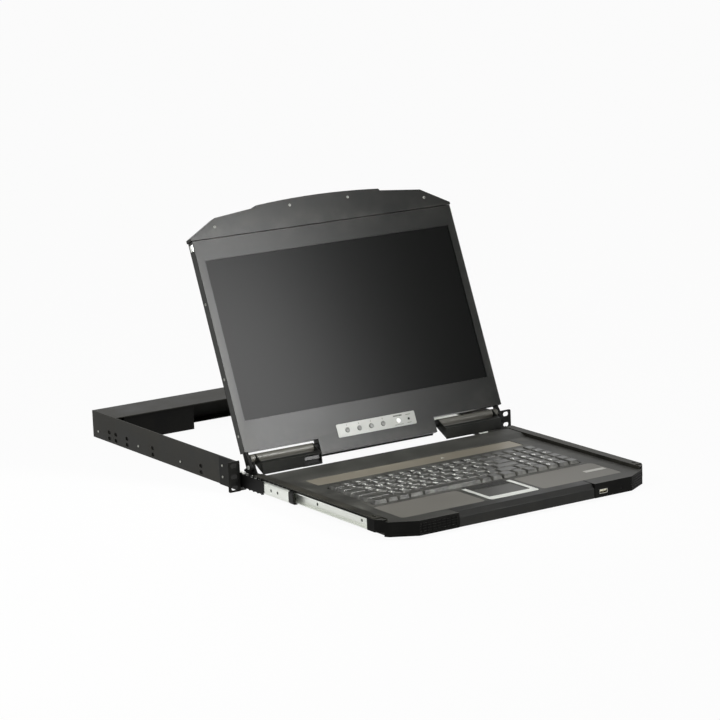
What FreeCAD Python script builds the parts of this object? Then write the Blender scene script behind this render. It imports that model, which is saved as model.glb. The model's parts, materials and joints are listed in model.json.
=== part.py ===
"""Rackmount LCD console drawer: one rack unit, sliding keyboard tray, folding display.

Frame: +X right, +Y into the rack, +Z up, millimetres. The origin is the centre of the rack
ears' hole pattern, on the plane where the ears meet the rack rails. The drawer stands fully
extended and the display stands open. Display pieces are drawn flat in their own frame (X
across, Y up the screen, Z out of the screen) and tilted into place by their Placement.
"""
import FreeCAD, Part
import os
import Sketcher

os.makedirs("parts", exist_ok=True)
doc = FreeCAD.newDocument("ConsoleDrawer")
Vector = FreeCAD.Vector

# ------------------------------------------------------------------ driving dimensions
SIZES = {
    # rack interface, one rack unit
    "rackWidth": 482.6, "earTall": 43.6, "earGauge": 2.0, "earFlange": 52.0, "earCorner": 2.0,
    "slotInset": 8.75, "slotStep": 15.875, "slotLength": 10.0, "slotWidth": 6.8,
    # side rails
    "earReach": 18.3, "chassisDepth": 436.0, "railGauge": 1.5, "railLip": 9.0,
    "railRise": 19.2, "railDrop": 21.8,
    "railHoleWidth": 5.4, "railHoleLength": 9.0, "railHoleGap": 9.4, "railHoleDrop": 11.0,
    "holeFirst": 108.0, "holeSecond": 250.0, "holeThird": 328.5, "holeFourth": 363.5, "holeFifth": 384.0,
    # rivets on the side rails
    "rivetWidth": 5.6, "rivetProud": 1.1, "rivetFront": 43.0, "rivetUpper": 6.7, "rivetLower": 9.7,
    "rivetSecond": 167.5, "rivetThird": 293.3, "rivetRear": 419.0,
    # rear channel and electronics
    "channelDepth": 73.0, "channelLip": 25.0, "cheekDepth": 24.0,
    "boxWidth": 120.0, "boxDepth": 67.0, "boxInset": 15.5, "boxGauge": 1.2,
    "jackInset": 35.5, "portInset": 83.5, "socketRise": 1.0, "jackWidth": 11.0, "jackBore": 6.4,
    "jackPin": 2.0, "jackFlange": 14.0, "jackDepth": 12.0, "panelFit": 0.2,
    "portWide": 39.2, "portTall": 12.5, "shellWide": 24.6, "shellTall": 8.3, "shellProud": 5.8,
    # telescopic slides
    "slideShort": 15.0, "slideSetback": 29.0, "slideDrop": 7.5, "slideGauge": 1.2,
    "outerHeight": 24.8, "outerLip": 8.0, "middleHeight": 18.8, "middleInset": 2.9, "middleBevel": 2.8,
    "middleClear": 3.3, "innerHeight": 14.8, "innerLip": 6.3, "innerTail": 8.0,
    "slideHole": 4.4, "holeNear": 28.8, "holeMiddle": 45.9, "holeFar": 77.9,
    "innerHoleNear": 12.0, "innerHoleMiddle": 29.0, "innerHoleFar": 139.0,
    "noseShort": 11.7, "stopLength": 11.0, "stopProud": 0.2,
    "ballWidth": 3.0, "ballStep": 11.0, "ballClear": 0.3, "cageLength": 100.0, "cageGauge": 0.6,
    # drawer tray
    "drawerReach": 376.0, "bumperDepth": 26.0, "slideSpace": 13.8, "trayGauge": 1.3, "trayDrop": 17.5,
    "trayRear": 44.0, "armReach": 8.0, "armRise": 5.2, "armDrop": 15.8, "flangeRise": 6.6,
    "flangeWidth": 12.1, "flangeRear": 35.0, "flangeInset": 36.5, "catchInset": 46.5,
    "catchLong": 9.0, "catchWide": 3.0,
    # deck
    "deckRise": 1.8, "deckGauge": 2.0, "deckFit": 0.4, "bandRise": 5.8, "bandRear": 44.5,
    "bandFront": 76.0, "bandFoot": 88.0,
    "stripWidth": 346.0, "stripDepth": 35.5, "stripRear": 92.5, "stripSink": 1.0, "stripGauge": 0.6,
    "palmEdge": 25.0, "palmDepth": 72.0, "palmInset": 29.0, "palmInside": 47.0, "palmSink": 0.4,
    "palmCorner": 6.0,
    # keyboard
    "keySpacing": 18.0, "keyRow": 19.3, "keyGap": 0.8, "keyTaper": 1.9, "keyTop": 6.0, "keyFoot": 0.7,
    "keyTravel": 2.5, "keyInset": 227.0, "keyMargin": 1.2, "stemWidth": 4.0, "stemFit": 0.4,
    "baseGauge": 3.0, "baseDrop": 3.6, "baseRim": 1.4, "baseFlange": 3.0, "baseFlangeGauge": 1.2,
    # touchpad
    "padWidth": 66.0, "padDepth": 42.0, "padInset": 84.0, "padGauge": 0.9, "padSink": 0.3,
    "frameWidth": 80.0, "frameDepth": 69.5, "frameInset": 27.5, "frameLeg": 6.4, "frameBar": 13.0,
    "frameProud": 0.7, "frameCorner": 5.0,
    "clickDepth": 18.0, "clickInset": 105.4, "clickProud": 0.5, "clickTravel": 0.8, "clickRib": 0.5,
    # front bar and grips
    "bumperDrop": 17.5, "bumperRise": 2.6, "barWidth": 221.0, "barCrease": 3.8, "barBevel": 7.5,
    "gripSeam": 0.6, "gripTaper": 33.7, "gripCorner": 20.0, "gripOverhang": 4.3,
    "blockFit": 1.0, "blockDepth": 28.0, "blockTurn": 10.0, "blockDrop": 12.0,
    "ribFirst": 2.2, "ribStep": 3.4, "ribWidth": 1.1, "ribSink": 0.8, "waffleFirst": 4.0, "waffleStep": 7.6,
    "usbInset": 14.5, "usbDrop": 9.4, "usbWide": 13.1, "usbTall": 5.7, "usbDepth": 14.0,
    "usbGauge": 0.45, "usbFit": 0.15, "usbTongue": 1.8, "lampInset": 17.8, "lampDrop": 10.8, "lampWidth": 3.0,
    # display
    "tilt": 22.5, "pivotAhead": 14.0, "pivotRise": 12.8, "pivotBelow": 21.1, "pivotBehind": 5.6,
    "lcdClear": 2.9, "lcdDepth": 14.0, "lcdWall": 1.6, "coverGauge": 1.2,
    "tongueWidth": 197.0, "tongueDrop": 22.4, "backLip": 2.0,
    "bezelSide": 12.1, "bezelTop": 30.0, "windowTall": 232.6, "windowFoot": 43.4, "panelBorder": 3.0, "panelDepth": 7.0,
    "boardWide": 120.0, "boardHigh": 90.0, "boardFoot": 70.0, "boardGauge": 1.6,
    "headerGap": 0.8, "headerProud": 2.0, "lugRise": 4.5, "shoulderInset": 46.1, "shoulderRise": 29.2,
    "stepOut": 106.0, "stepRise": 36.2, "archOut": 104.3, "archStart": 39.0, "archRise": 43.3,
    "headerWall": 1.5,
    "screwWidth": 5.0, "screwProud": 0.8, "screwOuterInset": 42.6, "screwOuterRise": 16.2,
    "screwInnerAcross": 49.3, "screwInnerRise": 32.7, "sideScrewLow": 24.1, "sideScrewMiddle": 106.5,
    "sideScrewHigh": 215.6, "hookDrop": 9.0, "hookTall": 9.0, "hookDeep": 8.0, "hookProud": 2.2,
    # display controls
    "plateWidth": 133.0, "plateTall": 19.2, "plateUp": 5.1, "plateAcross": 1.4, "plateGauge": 0.6,
    "plateCorner": 2.0, "buttonWidth": 7.0, "buttonFit": 0.3, "buttonFirst": -48.0, "buttonStep": 20.1,
    "buttonUp": 4.3, "buttonProud": 0.6, "buttonFlange": 9.4, "buttonTravel": 0.7, "powerAcross": 38.8,
    # hinges
    "pinWidth": 6.0, "pinFit": 0.05, "pinHead": 9.0, "pinHeadGauge": 1.2, "bracketGauge": 2.6,
    "bracketRadius": 7.0, "bracketFoot": 2.4, "bracketFront": 33.0,
    "armGauge": 5.0, "armRadius": 6.5, "armGap": 0.5, "armTop": 30.0, "armSeat": 0.3, "armFront": 4.6,
    "barrelWidth": 12.4, "barrelUp": -9.7, "barrelIn": -7.0, "barrelFit": 0.3,
    "journalWidth": 7.0, "journalFit": 0.1,
    "shroudGauge": 1.6, "shroudInset": 7.3, "shroudClear": 8.0, "shroudTop": -17.0, "shroudTopOut": 7.4,
    "shroudBend": -20.6, "shroudBendOut": 12.3, "shroudLow": -36.2, "shroudLowOut": 7.9,
    "recessLong": 27.0, "recessTall": 11.6, "recessFloor": 5.4, "tabTall": 5.0, "tabProud": 3.4,
}
TRIM = 1.0              # how far a cutting sketch runs past the face that it opens
MITRE = 2 - 2 ** 0.5    # leg lost by a 45 degree bevel when its profile is offset inwards

sheet = doc.addObject("Spreadsheet::Sheet", "Sizes")
for row, (name, number) in enumerate(SIZES.items(), start=1):
    sheet.set(f"A{row}", name)
    sheet.set(f"B{row}", str(number))
    sheet.setAlias(f"B{row}", name)
doc.recompute()


class Size:
    """A number together with the sheet expression that it comes from."""

    def __init__(self, text, number):
        self.text, self.number = text, number

    def join(self, sign, other, number, swap=False):
        pair = (text_of(other), self.text) if swap else (self.text, text_of(other))
        return Size(f"({pair[0]} {sign} {pair[1]})", number)

    def __add__(self, other):
        return self.join("+", other, self.number + value(other))

    def __radd__(self, other):
        return self.join("+", other, self.number + value(other), swap=True)

    def __sub__(self, other):
        return self.join("-", other, self.number - value(other))

    def __rsub__(self, other):
        return self.join("-", other, value(other) - self.number, swap=True)

    def __mul__(self, other):
        return self.join("*", other, self.number * value(other))

    def __rmul__(self, other):
        return self.join("*", other, self.number * value(other), swap=True)

    def __truediv__(self, other):
        return self.join("/", other, self.number / value(other))

    def __neg__(self):
        return Size(f"(0 - {self.text})", -self.number)

    def turned(self, function):
        """Sine or cosine of an angle in degrees."""
        turn = FreeCAD.Rotation(Vector(0, 0, 1), self.number).multVec(Vector(1, 0, 0))
        return Size(f"{function}({self.text})", turn.x if function == "cos" else turn.y)


def value(size):
    return size.number if isinstance(size, Size) else float(size)


def text_of(size):
    return size.text if isinstance(size, Size) else repr(float(size))


class SheetSizes:
    """Every cell of the sheet, by its alias."""

    def __getattr__(self, name):
        return Size(f"Sizes.{name}", float(getattr(sheet, name)))


S = SheetSizes()

# ------------------------------------------------------------------ shared places
RAIL_OUT = S.rackWidth / 2 - S.earReach
RAIL_IN = RAIL_OUT - S.railGauge
TRAY_OUT = RAIL_IN - S.slideSpace
TRAY_IN = TRAY_OUT - S.trayGauge
DECK_HALF = TRAY_IN - S.deckFit
TRAVEL = S.drawerReach - S.bumperDepth
BAR_REAR = -TRAVEL
SLIDE_Z = -S.slideDrop
SLIDE_LENGTH = TRAVEL - S.slideShort
MIDDLE_OUT = RAIL_IN - S.middleInset
MIDDLE_FRONT = S.slideSetback - TRAVEL / 2 + S.noseShort
MIDDLE_REAR = S.slideSetback - TRAVEL / 2 + SLIDE_LENGTH
INNER_FRONT = S.slideSetback - TRAVEL
KEYS_REAR = S.keyInset - S.drawerReach
CLICK_REAR = S.clickInset - S.drawerReach
PAD_REAR = S.padInset - S.drawerReach
FRAME_FRONT = S.frameInset - S.drawerReach
PALM_FRONT = S.palmInset - S.drawerReach
GRIP_IN = S.barWidth / 2 + S.gripSeam
GRIP_TURN = TRAY_OUT - S.gripTaper
USB_X = GRIP_IN + S.usbInset
JACK_X = S.jackInset - RAIL_IN
PORT_X = S.portInset - RAIL_IN
LCD_HALF = RAIL_IN - S.lcdClear
LCD_TALL = S.windowFoot + S.windowTall + S.bezelTop
WINDOW_HALF = LCD_HALF - S.bezelSide
HEADER_HALF = LCD_HALF + S.headerProud
TONGUE_HALF = S.tongueWidth / 2
BEZEL_BACK = S.coverGauge - S.lcdDepth
BARREL = (S.barrelUp, S.barrelIn)
PIVOT = (-S.pivotBelow, -S.pivotBehind)
BRACKET_OUT = TRAY_OUT + S.bracketGauge
ARM_IN = BRACKET_OUT + S.armGap
ARM_OUT = ARM_IN + S.armGauge
SHROUD_NEAR = TONGUE_HALF + S.shroudInset
SHROUD_FAR = ARM_IN - S.shroudClear
SIDES = {"left": -1, "right": 1}
SUBPARTS = []


# ------------------------------------------------------------------ drawing helpers
def bind(thing, property_name, size):
    """Ties a property to the sheet, or sets it where the size is a plain number."""
    if isinstance(size, Size):
        thing.setExpression(property_name, size.text)
    elif property_name.count("."):
        thing.setExpression(property_name, repr(float(size)))
    else:
        setattr(thing, property_name, size)


def keep(thing):
    SUBPARTS.append(thing)
    return thing


def new_body(label):
    return keep(doc.addObject("PartDesign::Body", label))


def new_feature(label, shape):
    feature = doc.addObject("Part::Feature", label)
    feature.Shape = shape
    return keep(feature)


def origin_plane(body, role):
    return next(item for item in body.Origin.OriginFeatures if item.Role == role)


def pin_point(sketch, item, end, x, y):
    for kind, size in (("DistanceX", x), ("DistanceY", y)):
        index = sketch.addConstraint(Sketcher.Constraint(kind, item, end, value(size)))
        if isinstance(size, Size):
            sketch.setExpression(f"Constraints[{index}]", size.text)


def size_round(sketch, kind, item, size):
    index = sketch.addConstraint(Sketcher.Constraint(kind, item, value(size)))
    if isinstance(size, Size):
        sketch.setExpression(f"Constraints[{index}]", size.text)


def polygon(points, arc=None):
    """A closed outline; arc is (side number, radius, crown) for an anticlockwise bulge."""

    def draw(sketch):
        first, count = sketch.GeometryCount, len(points)
        spots = [Vector(value(x), value(y), 0) for x, y in points]
        for index, spot in enumerate(spots):
            following = spots[(index + 1) % count]
            if arc and index == arc[0]:
                crown = Vector(value(arc[2][0]), value(arc[2][1]), 0)
                sketch.addGeometry(Part.Arc(spot, crown, following), False)
            else:
                sketch.addGeometry(Part.LineSegment(spot, following), False)
        for index, (x, y) in enumerate(points):
            pin_point(sketch, first + index, 1, x, y)
            before = first + (index - 1) % count
            sketch.addConstraint(Sketcher.Constraint("Coincident", before, 2, first + index, 1))
        if arc:
            size_round(sketch, "Radius", first + arc[0], arc[1])

    return draw


def rectangle(x_low, y_low, x_high, y_high):
    return polygon([(x_low, y_low), (x_high, y_low), (x_high, y_high), (x_low, y_high)])


def circle(x, y, width):
    def draw(sketch):
        item = sketch.addGeometry(
            Part.Circle(Vector(value(x), value(y), 0), Vector(0, 0, 1), value(width) / 2), False)
        pin_point(sketch, item, 3, x, y)
        size_round(sketch, "Diameter", item, width)

    return draw


def slot(x, y, length, width):
    """An obround that lies along the sketch's first axis."""

    def draw(sketch):
        reach, radius = (length - width) / 2, width / 2
        left, right = Vector(value(x - reach), value(y), 0), Vector(value(x + reach), value(y), 0)
        rise = Vector(0, value(radius), 0)
        first = sketch.GeometryCount
        half_turn = 3.141592653589793 / 2
        sketch.addGeometry(Part.ArcOfCircle(
            Part.Circle(left, Vector(0, 0, 1), value(radius)), half_turn, 3 * half_turn), False)
        sketch.addGeometry(Part.LineSegment(left - rise, right - rise), False)
        sketch.addGeometry(Part.ArcOfCircle(
            Part.Circle(right, Vector(0, 0, 1), value(radius)), -half_turn, half_turn), False)
        sketch.addGeometry(Part.LineSegment(right + rise, left + rise), False)
        for index in range(4):
            sketch.addConstraint(Sketcher.Constraint(
                "Tangent", first + index, 2, first + (index + 1) % 4, 1))
        pin_point(sketch, first, 3, x - reach, y)
        pin_point(sketch, first + 2, 3, x + reach, y)
        size_round(sketch, "Radius", first, radius)

    return draw


def prism(body, plane, loops, low, high, cut=False):
    """Pads or pockets closed loops between two places on the plane's own axis."""
    sketch = body.newObject("Sketcher::SketchObject", f"{body.Label}_sketch")
    sketch.AttachmentSupport = [(origin_plane(body, plane), "")]
    sketch.MapMode = "FlatFace"
    against_axis = plane == "XZ_Plane"
    if against_axis:
        lift = -low if cut else -high
    else:
        lift = high if cut else low
    bind(sketch, "AttachmentOffset.Base.z", lift)
    for loop in loops:
        loop(sketch)
    feature = body.newObject("PartDesign::Pocket" if cut else "PartDesign::Pad", f"{body.Label}_step")
    feature.Profile = sketch
    bind(feature, "Length", high - low)
    sketch.Visibility = False
    return feature


def span(side, near, far):
    """The same distance band on the left or the right, lowest first."""
    return (near, far) if side > 0 else (-far, -near)


def blend(body, kind, picks, size):
    """A fillet or chamfer on the tip's edges that picks accepts."""
    doc.recompute()
    base = body.Tip
    names = [f"Edge{index}" for index, edge in enumerate(base.Shape.Edges, start=1) if picks(edge)]
    feature = body.newObject(f"PartDesign::{kind}", f"{body.Label}_{kind.lower()}")
    feature.Base = (base, names)
    bind(feature, "Radius" if kind == "Fillet" else "Size", size)
    return feature


def runs_along(edge, axis):
    start, end = edge.Vertexes[0].Point, edge.Vertexes[-1].Point
    return edge.Curve.TypeId == "Part::GeomLine" and abs((end - start).normalize().dot(axis)) > 0.999


def near(first, second):
    return abs(first - value(second)) < 0.01


AXIS_X, AXIS_Y, AXIS_Z = Vector(1, 0, 0), Vector(0, 1, 0), Vector(0, 0, 1)


def seat_on_display(body):
    """Tilts a piece drawn flat in the display's frame into its open position."""
    sine, cosine = S.tilt.turned("sin"), S.tilt.turned("cos")
    body.Placement = FreeCAD.Placement(Vector(), FreeCAD.Rotation(AXIS_X, 90 - value(S.tilt)))
    bind(body, "Placement.Rotation.Angle", 90 - S.tilt)
    bind(body, "Placement.Base.y", -S.pivotAhead + S.pivotBelow * sine - S.pivotBehind * cosine)
    bind(body, "Placement.Base.z", S.pivotRise + S.pivotBelow * cosine + S.pivotBehind * sine)
    return body


def dome(width, rise):
    """A low rounded head that stands on the plane z = 0."""
    radius, tall = value(width) / 2, value(rise)
    head = Part.makeCylinder(radius, tall)
    rim = [edge for edge in head.Edges if edge.Vertexes[0].Point.z > tall / 2 and edge.isClosed()]
    return head.makeFillet(tall * 0.7, [rim[0]])


# ------------------------------------------------------------------ chassis
def make_ear(name, side):
    """Rack ear: slotted face with a return flange that is riveted to the rail."""
    body = new_body(f"ear_{name}")
    edge, corner, flange = side * S.rackWidth / 2, side * RAIL_OUT, side * (RAIL_OUT + S.earGauge)
    half_tall = S.earTall / 2
    plan = [(edge, -S.earGauge), (corner, -S.earGauge), (corner, S.earFlange),
            (flange, S.earFlange), (flange, 0), (edge, 0)]
    prism(body, "XY_Plane", [polygon(plan)], -half_tall, half_tall)
    band = span(side, RAIL_OUT - TRIM, RAIL_OUT + S.earGauge + TRIM)
    prism(body, "XY_Plane", [rectangle(band[0], 0, band[1], S.earFlange + TRIM)],
          S.railRise, half_tall + TRIM, cut=True)
    slots = [slot(side * (S.rackWidth / 2 - S.slotInset), step * S.slotStep, S.slotLength, S.slotWidth)
             for step in (-1, 0, 1)]
    prism(body, "XZ_Plane", slots, -S.earGauge - TRIM, TRIM, cut=True)
    outer = side * value(S.rackWidth) / 2
    blend(body, "Fillet", lambda e: runs_along(e, AXIS_Y) and near(e.CenterOfMass.x, outer), S.earCorner)


def make_rail(name, side):
    """Side rail: tall web with a bottom lip, and pairs of adjustment slots."""
    body = new_body(f"rail_{name}")
    web = span(side, RAIL_IN, RAIL_OUT)
    lip = span(side, RAIL_IN - S.railLip, RAIL_IN)
    prism(body, "XZ_Plane", [rectangle(web[0], -S.railDrop, web[1], S.railRise)], 0, S.chassisDepth)
    prism(body, "XZ_Plane", [rectangle(lip[0], -S.railDrop, lip[1], S.railGauge - S.railDrop)],
          0, S.chassisDepth - S.channelLip)
    holes = [slot(place, end * S.railHoleGap / 2 - S.railHoleDrop, S.railHoleLength, S.railHoleWidth)
             for place in (S.holeFirst, S.holeSecond, S.holeThird, S.holeFourth, S.holeFifth)
             for end in (-1, 1)]
    prism(body, "YZ_Plane", holes, web[0] - TRIM, web[1] + TRIM, cut=True)


def make_rear_channel():
    """Cross channel: deep top flange, back wall and short bottom lip, with end cheeks."""
    body = new_body("rear_channel")
    back, gauge = S.chassisDepth, S.railGauge
    profile = [(back - S.channelDepth, S.railRise), (back, S.railRise), (back, -S.railDrop),
               (back - S.channelLip, -S.railDrop), (back - S.channelLip, gauge - S.railDrop),
               (back - gauge, gauge - S.railDrop), (back - gauge, S.railRise - gauge),
               (back - S.channelDepth, S.railRise - gauge)]
    prism(body, "YZ_Plane", [polygon(profile)], -RAIL_IN, RAIL_IN)
    for side in SIDES.values():
        band = span(side, RAIL_IN - gauge, RAIL_IN)
        prism(body, "YZ_Plane", [rectangle(back - S.cheekDepth, -S.railDrop, back, S.railRise)], *band)
    openings = [circle(JACK_X, S.socketRise, S.jackWidth + 2 * S.panelFit),
                rectangle(PORT_X - S.shellWide / 2, S.socketRise - S.shellTall / 2,
                          PORT_X + S.shellWide / 2, S.socketRise + S.shellTall / 2)]
    prism(body, "XZ_Plane", openings, back - gauge - TRIM, back + TRIM, cut=True)


def make_electronics_box():
    """Folded box for the electronics, closed at the back by the channel's wall."""
    body = new_body("electronics_box")
    outer, back = S.boxInset - RAIL_IN, S.chassisDepth - S.railGauge
    floor, roof, wall = S.railGauge - S.railDrop, S.railRise - S.railGauge, S.boxGauge
    prism(body, "XY_Plane", [rectangle(outer, back - S.boxDepth, outer + S.boxWidth, back)], floor, roof)
    prism(body, "XY_Plane", [rectangle(outer + wall, back - S.boxDepth + wall,
                                       outer + S.boxWidth - wall, back + TRIM)],
          floor + wall, roof - wall, cut=True)


def make_power_jack():
    """Coaxial supply socket, turned about its own axis."""
    body = new_body("power_jack")
    bore, pin = S.jackBore / 2, S.jackPin / 2
    profile = [(0, -S.jackDepth), (S.jackWidth / 2, -S.jackDepth), (S.jackWidth / 2, 0),
               (S.jackFlange / 2, 0), (S.jackFlange / 2, S.railGauge), (bore, S.railGauge),
               (bore, S.railGauge - S.jackDepth), (pin, S.railGauge - S.jackDepth), (pin, 0), (0, 0)]
    sketch = body.newObject("Sketcher::SketchObject", "power_jack_profile")
    sketch.AttachmentSupport = [(origin_plane(body, "XY_Plane"), "")]
    sketch.MapMode = "FlatFace"
    polygon(profile)(sketch)
    turn = body.newObject("PartDesign::Revolution", "power_jack_turn")
    turn.Profile = sketch
    turn.ReferenceAxis = (sketch, ["V_Axis"])
    sketch.Visibility = False
    bind(body, "Placement.Base.x", JACK_X)
    bind(body, "Placement.Base.y", S.chassisDepth)
    bind(body, "Placement.Base.z", S.socketRise)


def make_console_port():
    """D-shaped console connector on its flange, with two jackscrews."""
    body = new_body("console_port")
    half_wide, half_tall, slant = S.shellWide / 2, S.shellTall / 2, S.shellTall / 5
    prism(body, "XZ_Plane", [rectangle(-S.portWide / 2, -S.portTall / 2, S.portWide / 2, S.portTall / 2)],
          0, S.boxGauge)
    tee = [(-half_wide, half_tall), (slant - half_wide, -half_tall),
           (half_wide - slant, -half_tall), (half_wide, half_tall)]
    prism(body, "XZ_Plane", [polygon(tee)], S.boxGauge, S.shellProud)
    screws = [circle(side * (half_wide + S.portWide / 2) / 2, 0, S.shellTall / 2) for side in (-1, 1)]
    prism(body, "XZ_Plane", screws, S.boxGauge, S.shellProud)
    bind(body, "Placement.Base.x", PORT_X)
    bind(body, "Placement.Base.y", S.chassisDepth)
    bind(body, "Placement.Base.z", S.socketRise)


def make_chassis_rivets():
    """Rivet heads on the outer faces of the ears' flanges and of the rails."""
    heads = []
    flange_face, rail_face = value(RAIL_OUT + S.earGauge), value(RAIL_OUT)
    centre = -value(S.railHoleDrop)
    spots = [(flange_face, value(S.rivetFront), value(S.rivetUpper)),
             (flange_face, value(S.rivetFront), -value(S.rivetLower)),
             (rail_face, value(S.rivetSecond), centre), (rail_face, value(S.rivetThird), centre),
             (rail_face, value(S.rivetRear), centre)]
    for side in SIDES.values():
        for face, place, rise in spots:
            head = dome(S.rivetWidth, S.rivetProud)
            head.rotate(Vector(), AXIS_Y, side * 90)
            head.translate(Vector(side * face, place, rise))
            heads.append(head)
    new_feature("chassis_rivets", Part.makeCompound(heads))


# ------------------------------------------------------------------ telescopic slides
def channel_profile(side, web_out, web_in, lips, half_high, bevel=None):
    """C section that opens towards lips, its web between web_out and web_in."""
    gauge = S.slideGauge
    inside = half_high - gauge
    if bevel is None:
        outer, inner = [(web_out, half_high)], [(web_in, inside)]
    else:
        leg = bevel - gauge * MITRE
        outer = [(web_out, half_high - bevel), (web_out - bevel, half_high)]
        inner = [(web_in - leg, inside), (web_in, inside - leg)]
    upper = outer + [(lips, half_high), (lips, inside)] + inner
    lower = [(x, -z) for x, z in reversed(upper)]
    return polygon([(side * x, SLIDE_Z + z) for x, z in upper + lower])


def make_slide_outer(name, side):
    """Fixed member on the rail."""
    body = new_body(f"slide_outer_{name}")
    section = channel_profile(side, RAIL_IN, RAIL_IN - S.slideGauge, RAIL_IN - S.outerLip, S.outerHeight / 2)
    prism(body, "XZ_Plane", [section], S.slideSetback, S.slideSetback + SLIDE_LENGTH)


def make_slide_middle(name, side):
    """Travelling member, its corners bevelled where the balls run."""
    body = new_body(f"slide_middle_{name}")
    section = channel_profile(side, MIDDLE_OUT, MIDDLE_OUT - S.slideGauge, TRAY_OUT + S.middleClear,
                              S.middleHeight / 2, S.middleBevel)
    steel_front = MIDDLE_FRONT + S.stopLength
    prism(body, "XZ_Plane", [section], steel_front, MIDDLE_REAR)
    holes = [circle(steel_front + place, SLIDE_Z, S.slideHole)
             for place in (S.holeNear, S.holeMiddle, S.holeFar)]
    band = span(side, MIDDLE_OUT - S.slideGauge - TRIM, MIDDLE_OUT + TRIM)
    prism(body, "YZ_Plane", holes, *band, cut=True)


def make_slide_stop(name, side):
    """Plastic nose on the travelling member, shaped like its section but thicker."""
    body = new_body(f"slide_stop_{name}")
    outer, lips, half_high = MIDDLE_OUT + S.stopProud, TRAY_OUT + S.middleClear, S.middleHeight / 2
    inner, inside, bevel = MIDDLE_OUT - S.slideGauge, half_high - S.slideGauge, S.middleBevel
    section = [(outer, half_high - bevel), (outer - bevel, half_high), (lips, half_high),
               (lips, inside), (inner, inside)]
    section += [(x, -z) for x, z in reversed(section)]
    prism(body, "XZ_Plane", [polygon([(side * x, SLIDE_Z + z) for x, z in section])],
          MIDDLE_FRONT, MIDDLE_FRONT + S.stopLength)


def make_ball_cage(name, side):
    """Sheet cage that carries two rows of balls between the fixed and travelling members."""
    front, length = value(S.slideSetback - TRAVEL / 4), value(S.cageLength)
    radius = value(S.ballWidth) / 2
    ball_x = value(RAIL_IN - S.slideGauge - S.ballClear) - radius
    ball_z = value(S.outerHeight / 2 - S.slideGauge - S.ballClear) - radius
    gauge = value(S.cageGauge)
    sheet_x = value(MIDDLE_OUT) + value(S.ballClear)
    plate = Part.makeBox(gauge, length, 2 * ball_z, Vector(sheet_x, front, value(SLIDE_Z) - ball_z))
    count = int((length - 2 * radius) // value(S.ballStep)) + 1
    margin = (length - (count - 1) * value(S.ballStep)) / 2
    balls = []
    for index in range(count):
        for row in (-1, 1):
            centre = Vector(ball_x, front + margin + index * value(S.ballStep), value(SLIDE_Z) + row * ball_z)
            ball = Part.makeSphere(radius, centre)
            ball.rotate(centre, AXIS_Z, 180)  # its seam faces away from the plate
            balls.append(ball)
    cage = plate.multiFuse(balls)
    if side < 0:
        cage = cage.mirror(Vector(), AXIS_X)
    new_feature(f"ball_cage_{name}", cage)


def make_slide_inner(name, side):
    """Drawer member: web against the tray wall, lips turned outwards."""
    body = new_body(f"slide_inner_{name}")
    web_face, lips, half_high = TRAY_OUT, TRAY_OUT + S.innerLip, S.innerHeight / 2
    section = [(web_face, half_high), (lips, half_high), (lips, half_high - S.slideGauge),
               (web_face + S.slideGauge, half_high - S.slideGauge)]
    section += [(x, -z) for x, z in reversed(section)]
    prism(body, "XZ_Plane", [polygon([(side * x, SLIDE_Z + z) for x, z in section])],
          INNER_FRONT, S.innerTail)
    holes = [circle(INNER_FRONT + place, SLIDE_Z, S.slideHole)
             for place in (S.innerHoleNear, S.innerHoleMiddle, S.innerHoleFar)]
    band = span(side, web_face - TRIM, web_face + S.slideGauge + TRIM)
    prism(body, "YZ_Plane", holes, *band, cut=True)


# ------------------------------------------------------------------ drawer
def make_drawer_tray():
    """Sheet tray: floor, side walls that run back to the hinges, and outward top flanges."""
    body = new_body("drawer_tray")
    prism(body, "XY_Plane", [rectangle(-TRAY_OUT, BAR_REAR, TRAY_OUT, -S.trayRear)],
          -S.trayDrop, S.trayGauge - S.trayDrop)
    wall = [(BAR_REAR, -S.trayDrop), (-S.trayRear, -S.trayDrop), (-S.flangeRear, -S.armDrop),
            (S.armReach, -S.armDrop), (S.armReach, S.armRise), (-S.flangeRear, S.armRise),
            (-S.flangeRear, S.flangeRise), (BAR_REAR, S.flangeRise)]
    for side in SIDES.values():
        prism(body, "YZ_Plane", [polygon(wall)], *span(side, TRAY_IN, TRAY_OUT))
        band = span(side, TRAY_IN, TRAY_OUT + S.flangeWidth)
        prism(body, "XY_Plane", [rectangle(band[0], S.flangeInset - S.drawerReach, band[1], -S.flangeRear)],
              S.flangeRise - S.trayGauge, S.flangeRise)
    middle = TRAY_OUT + S.flangeWidth / 2
    half_wide, half_long = S.catchWide / 2, S.catchLong / 2
    place = S.catchInset - S.drawerReach
    catches = [rectangle(side * middle - half_wide, place - half_long,
                         side * middle + half_wide, place + half_long)
               for side in SIDES.values()]
    prism(body, "XY_Plane", catches, S.flangeRise - S.trayGauge - TRIM, S.flangeRise + TRIM, cut=True)


KEY_ROWS = {
    "function_keys": [1] * 19,
    "number_keys": [1] * 13 + [2] + [1] * 4,
    "upper_letter_keys": [1.5] + [1] * 12 + [1.5] + [1] * 4,
    "home_letter_keys": [1.75] + [1] * 11 + [2.25] + [1] * 4,
    "lower_letter_keys": [2.25] + [1] * 10 + [1.75] + [1] * 5,
    "control_keys": [1.25, 1, 1, 1.25, None, 1, 1, 1.25, 1, 1, 1, 1, 1, 1],
}
ROW_UNITS = 19
SPACE_UNITS = 5.25
KEYBOARD_HALF = ROW_UNITS * S.keySpacing / 2
KEYBOARD_DEPTH = len(KEY_ROWS) * S.keyRow


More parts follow.
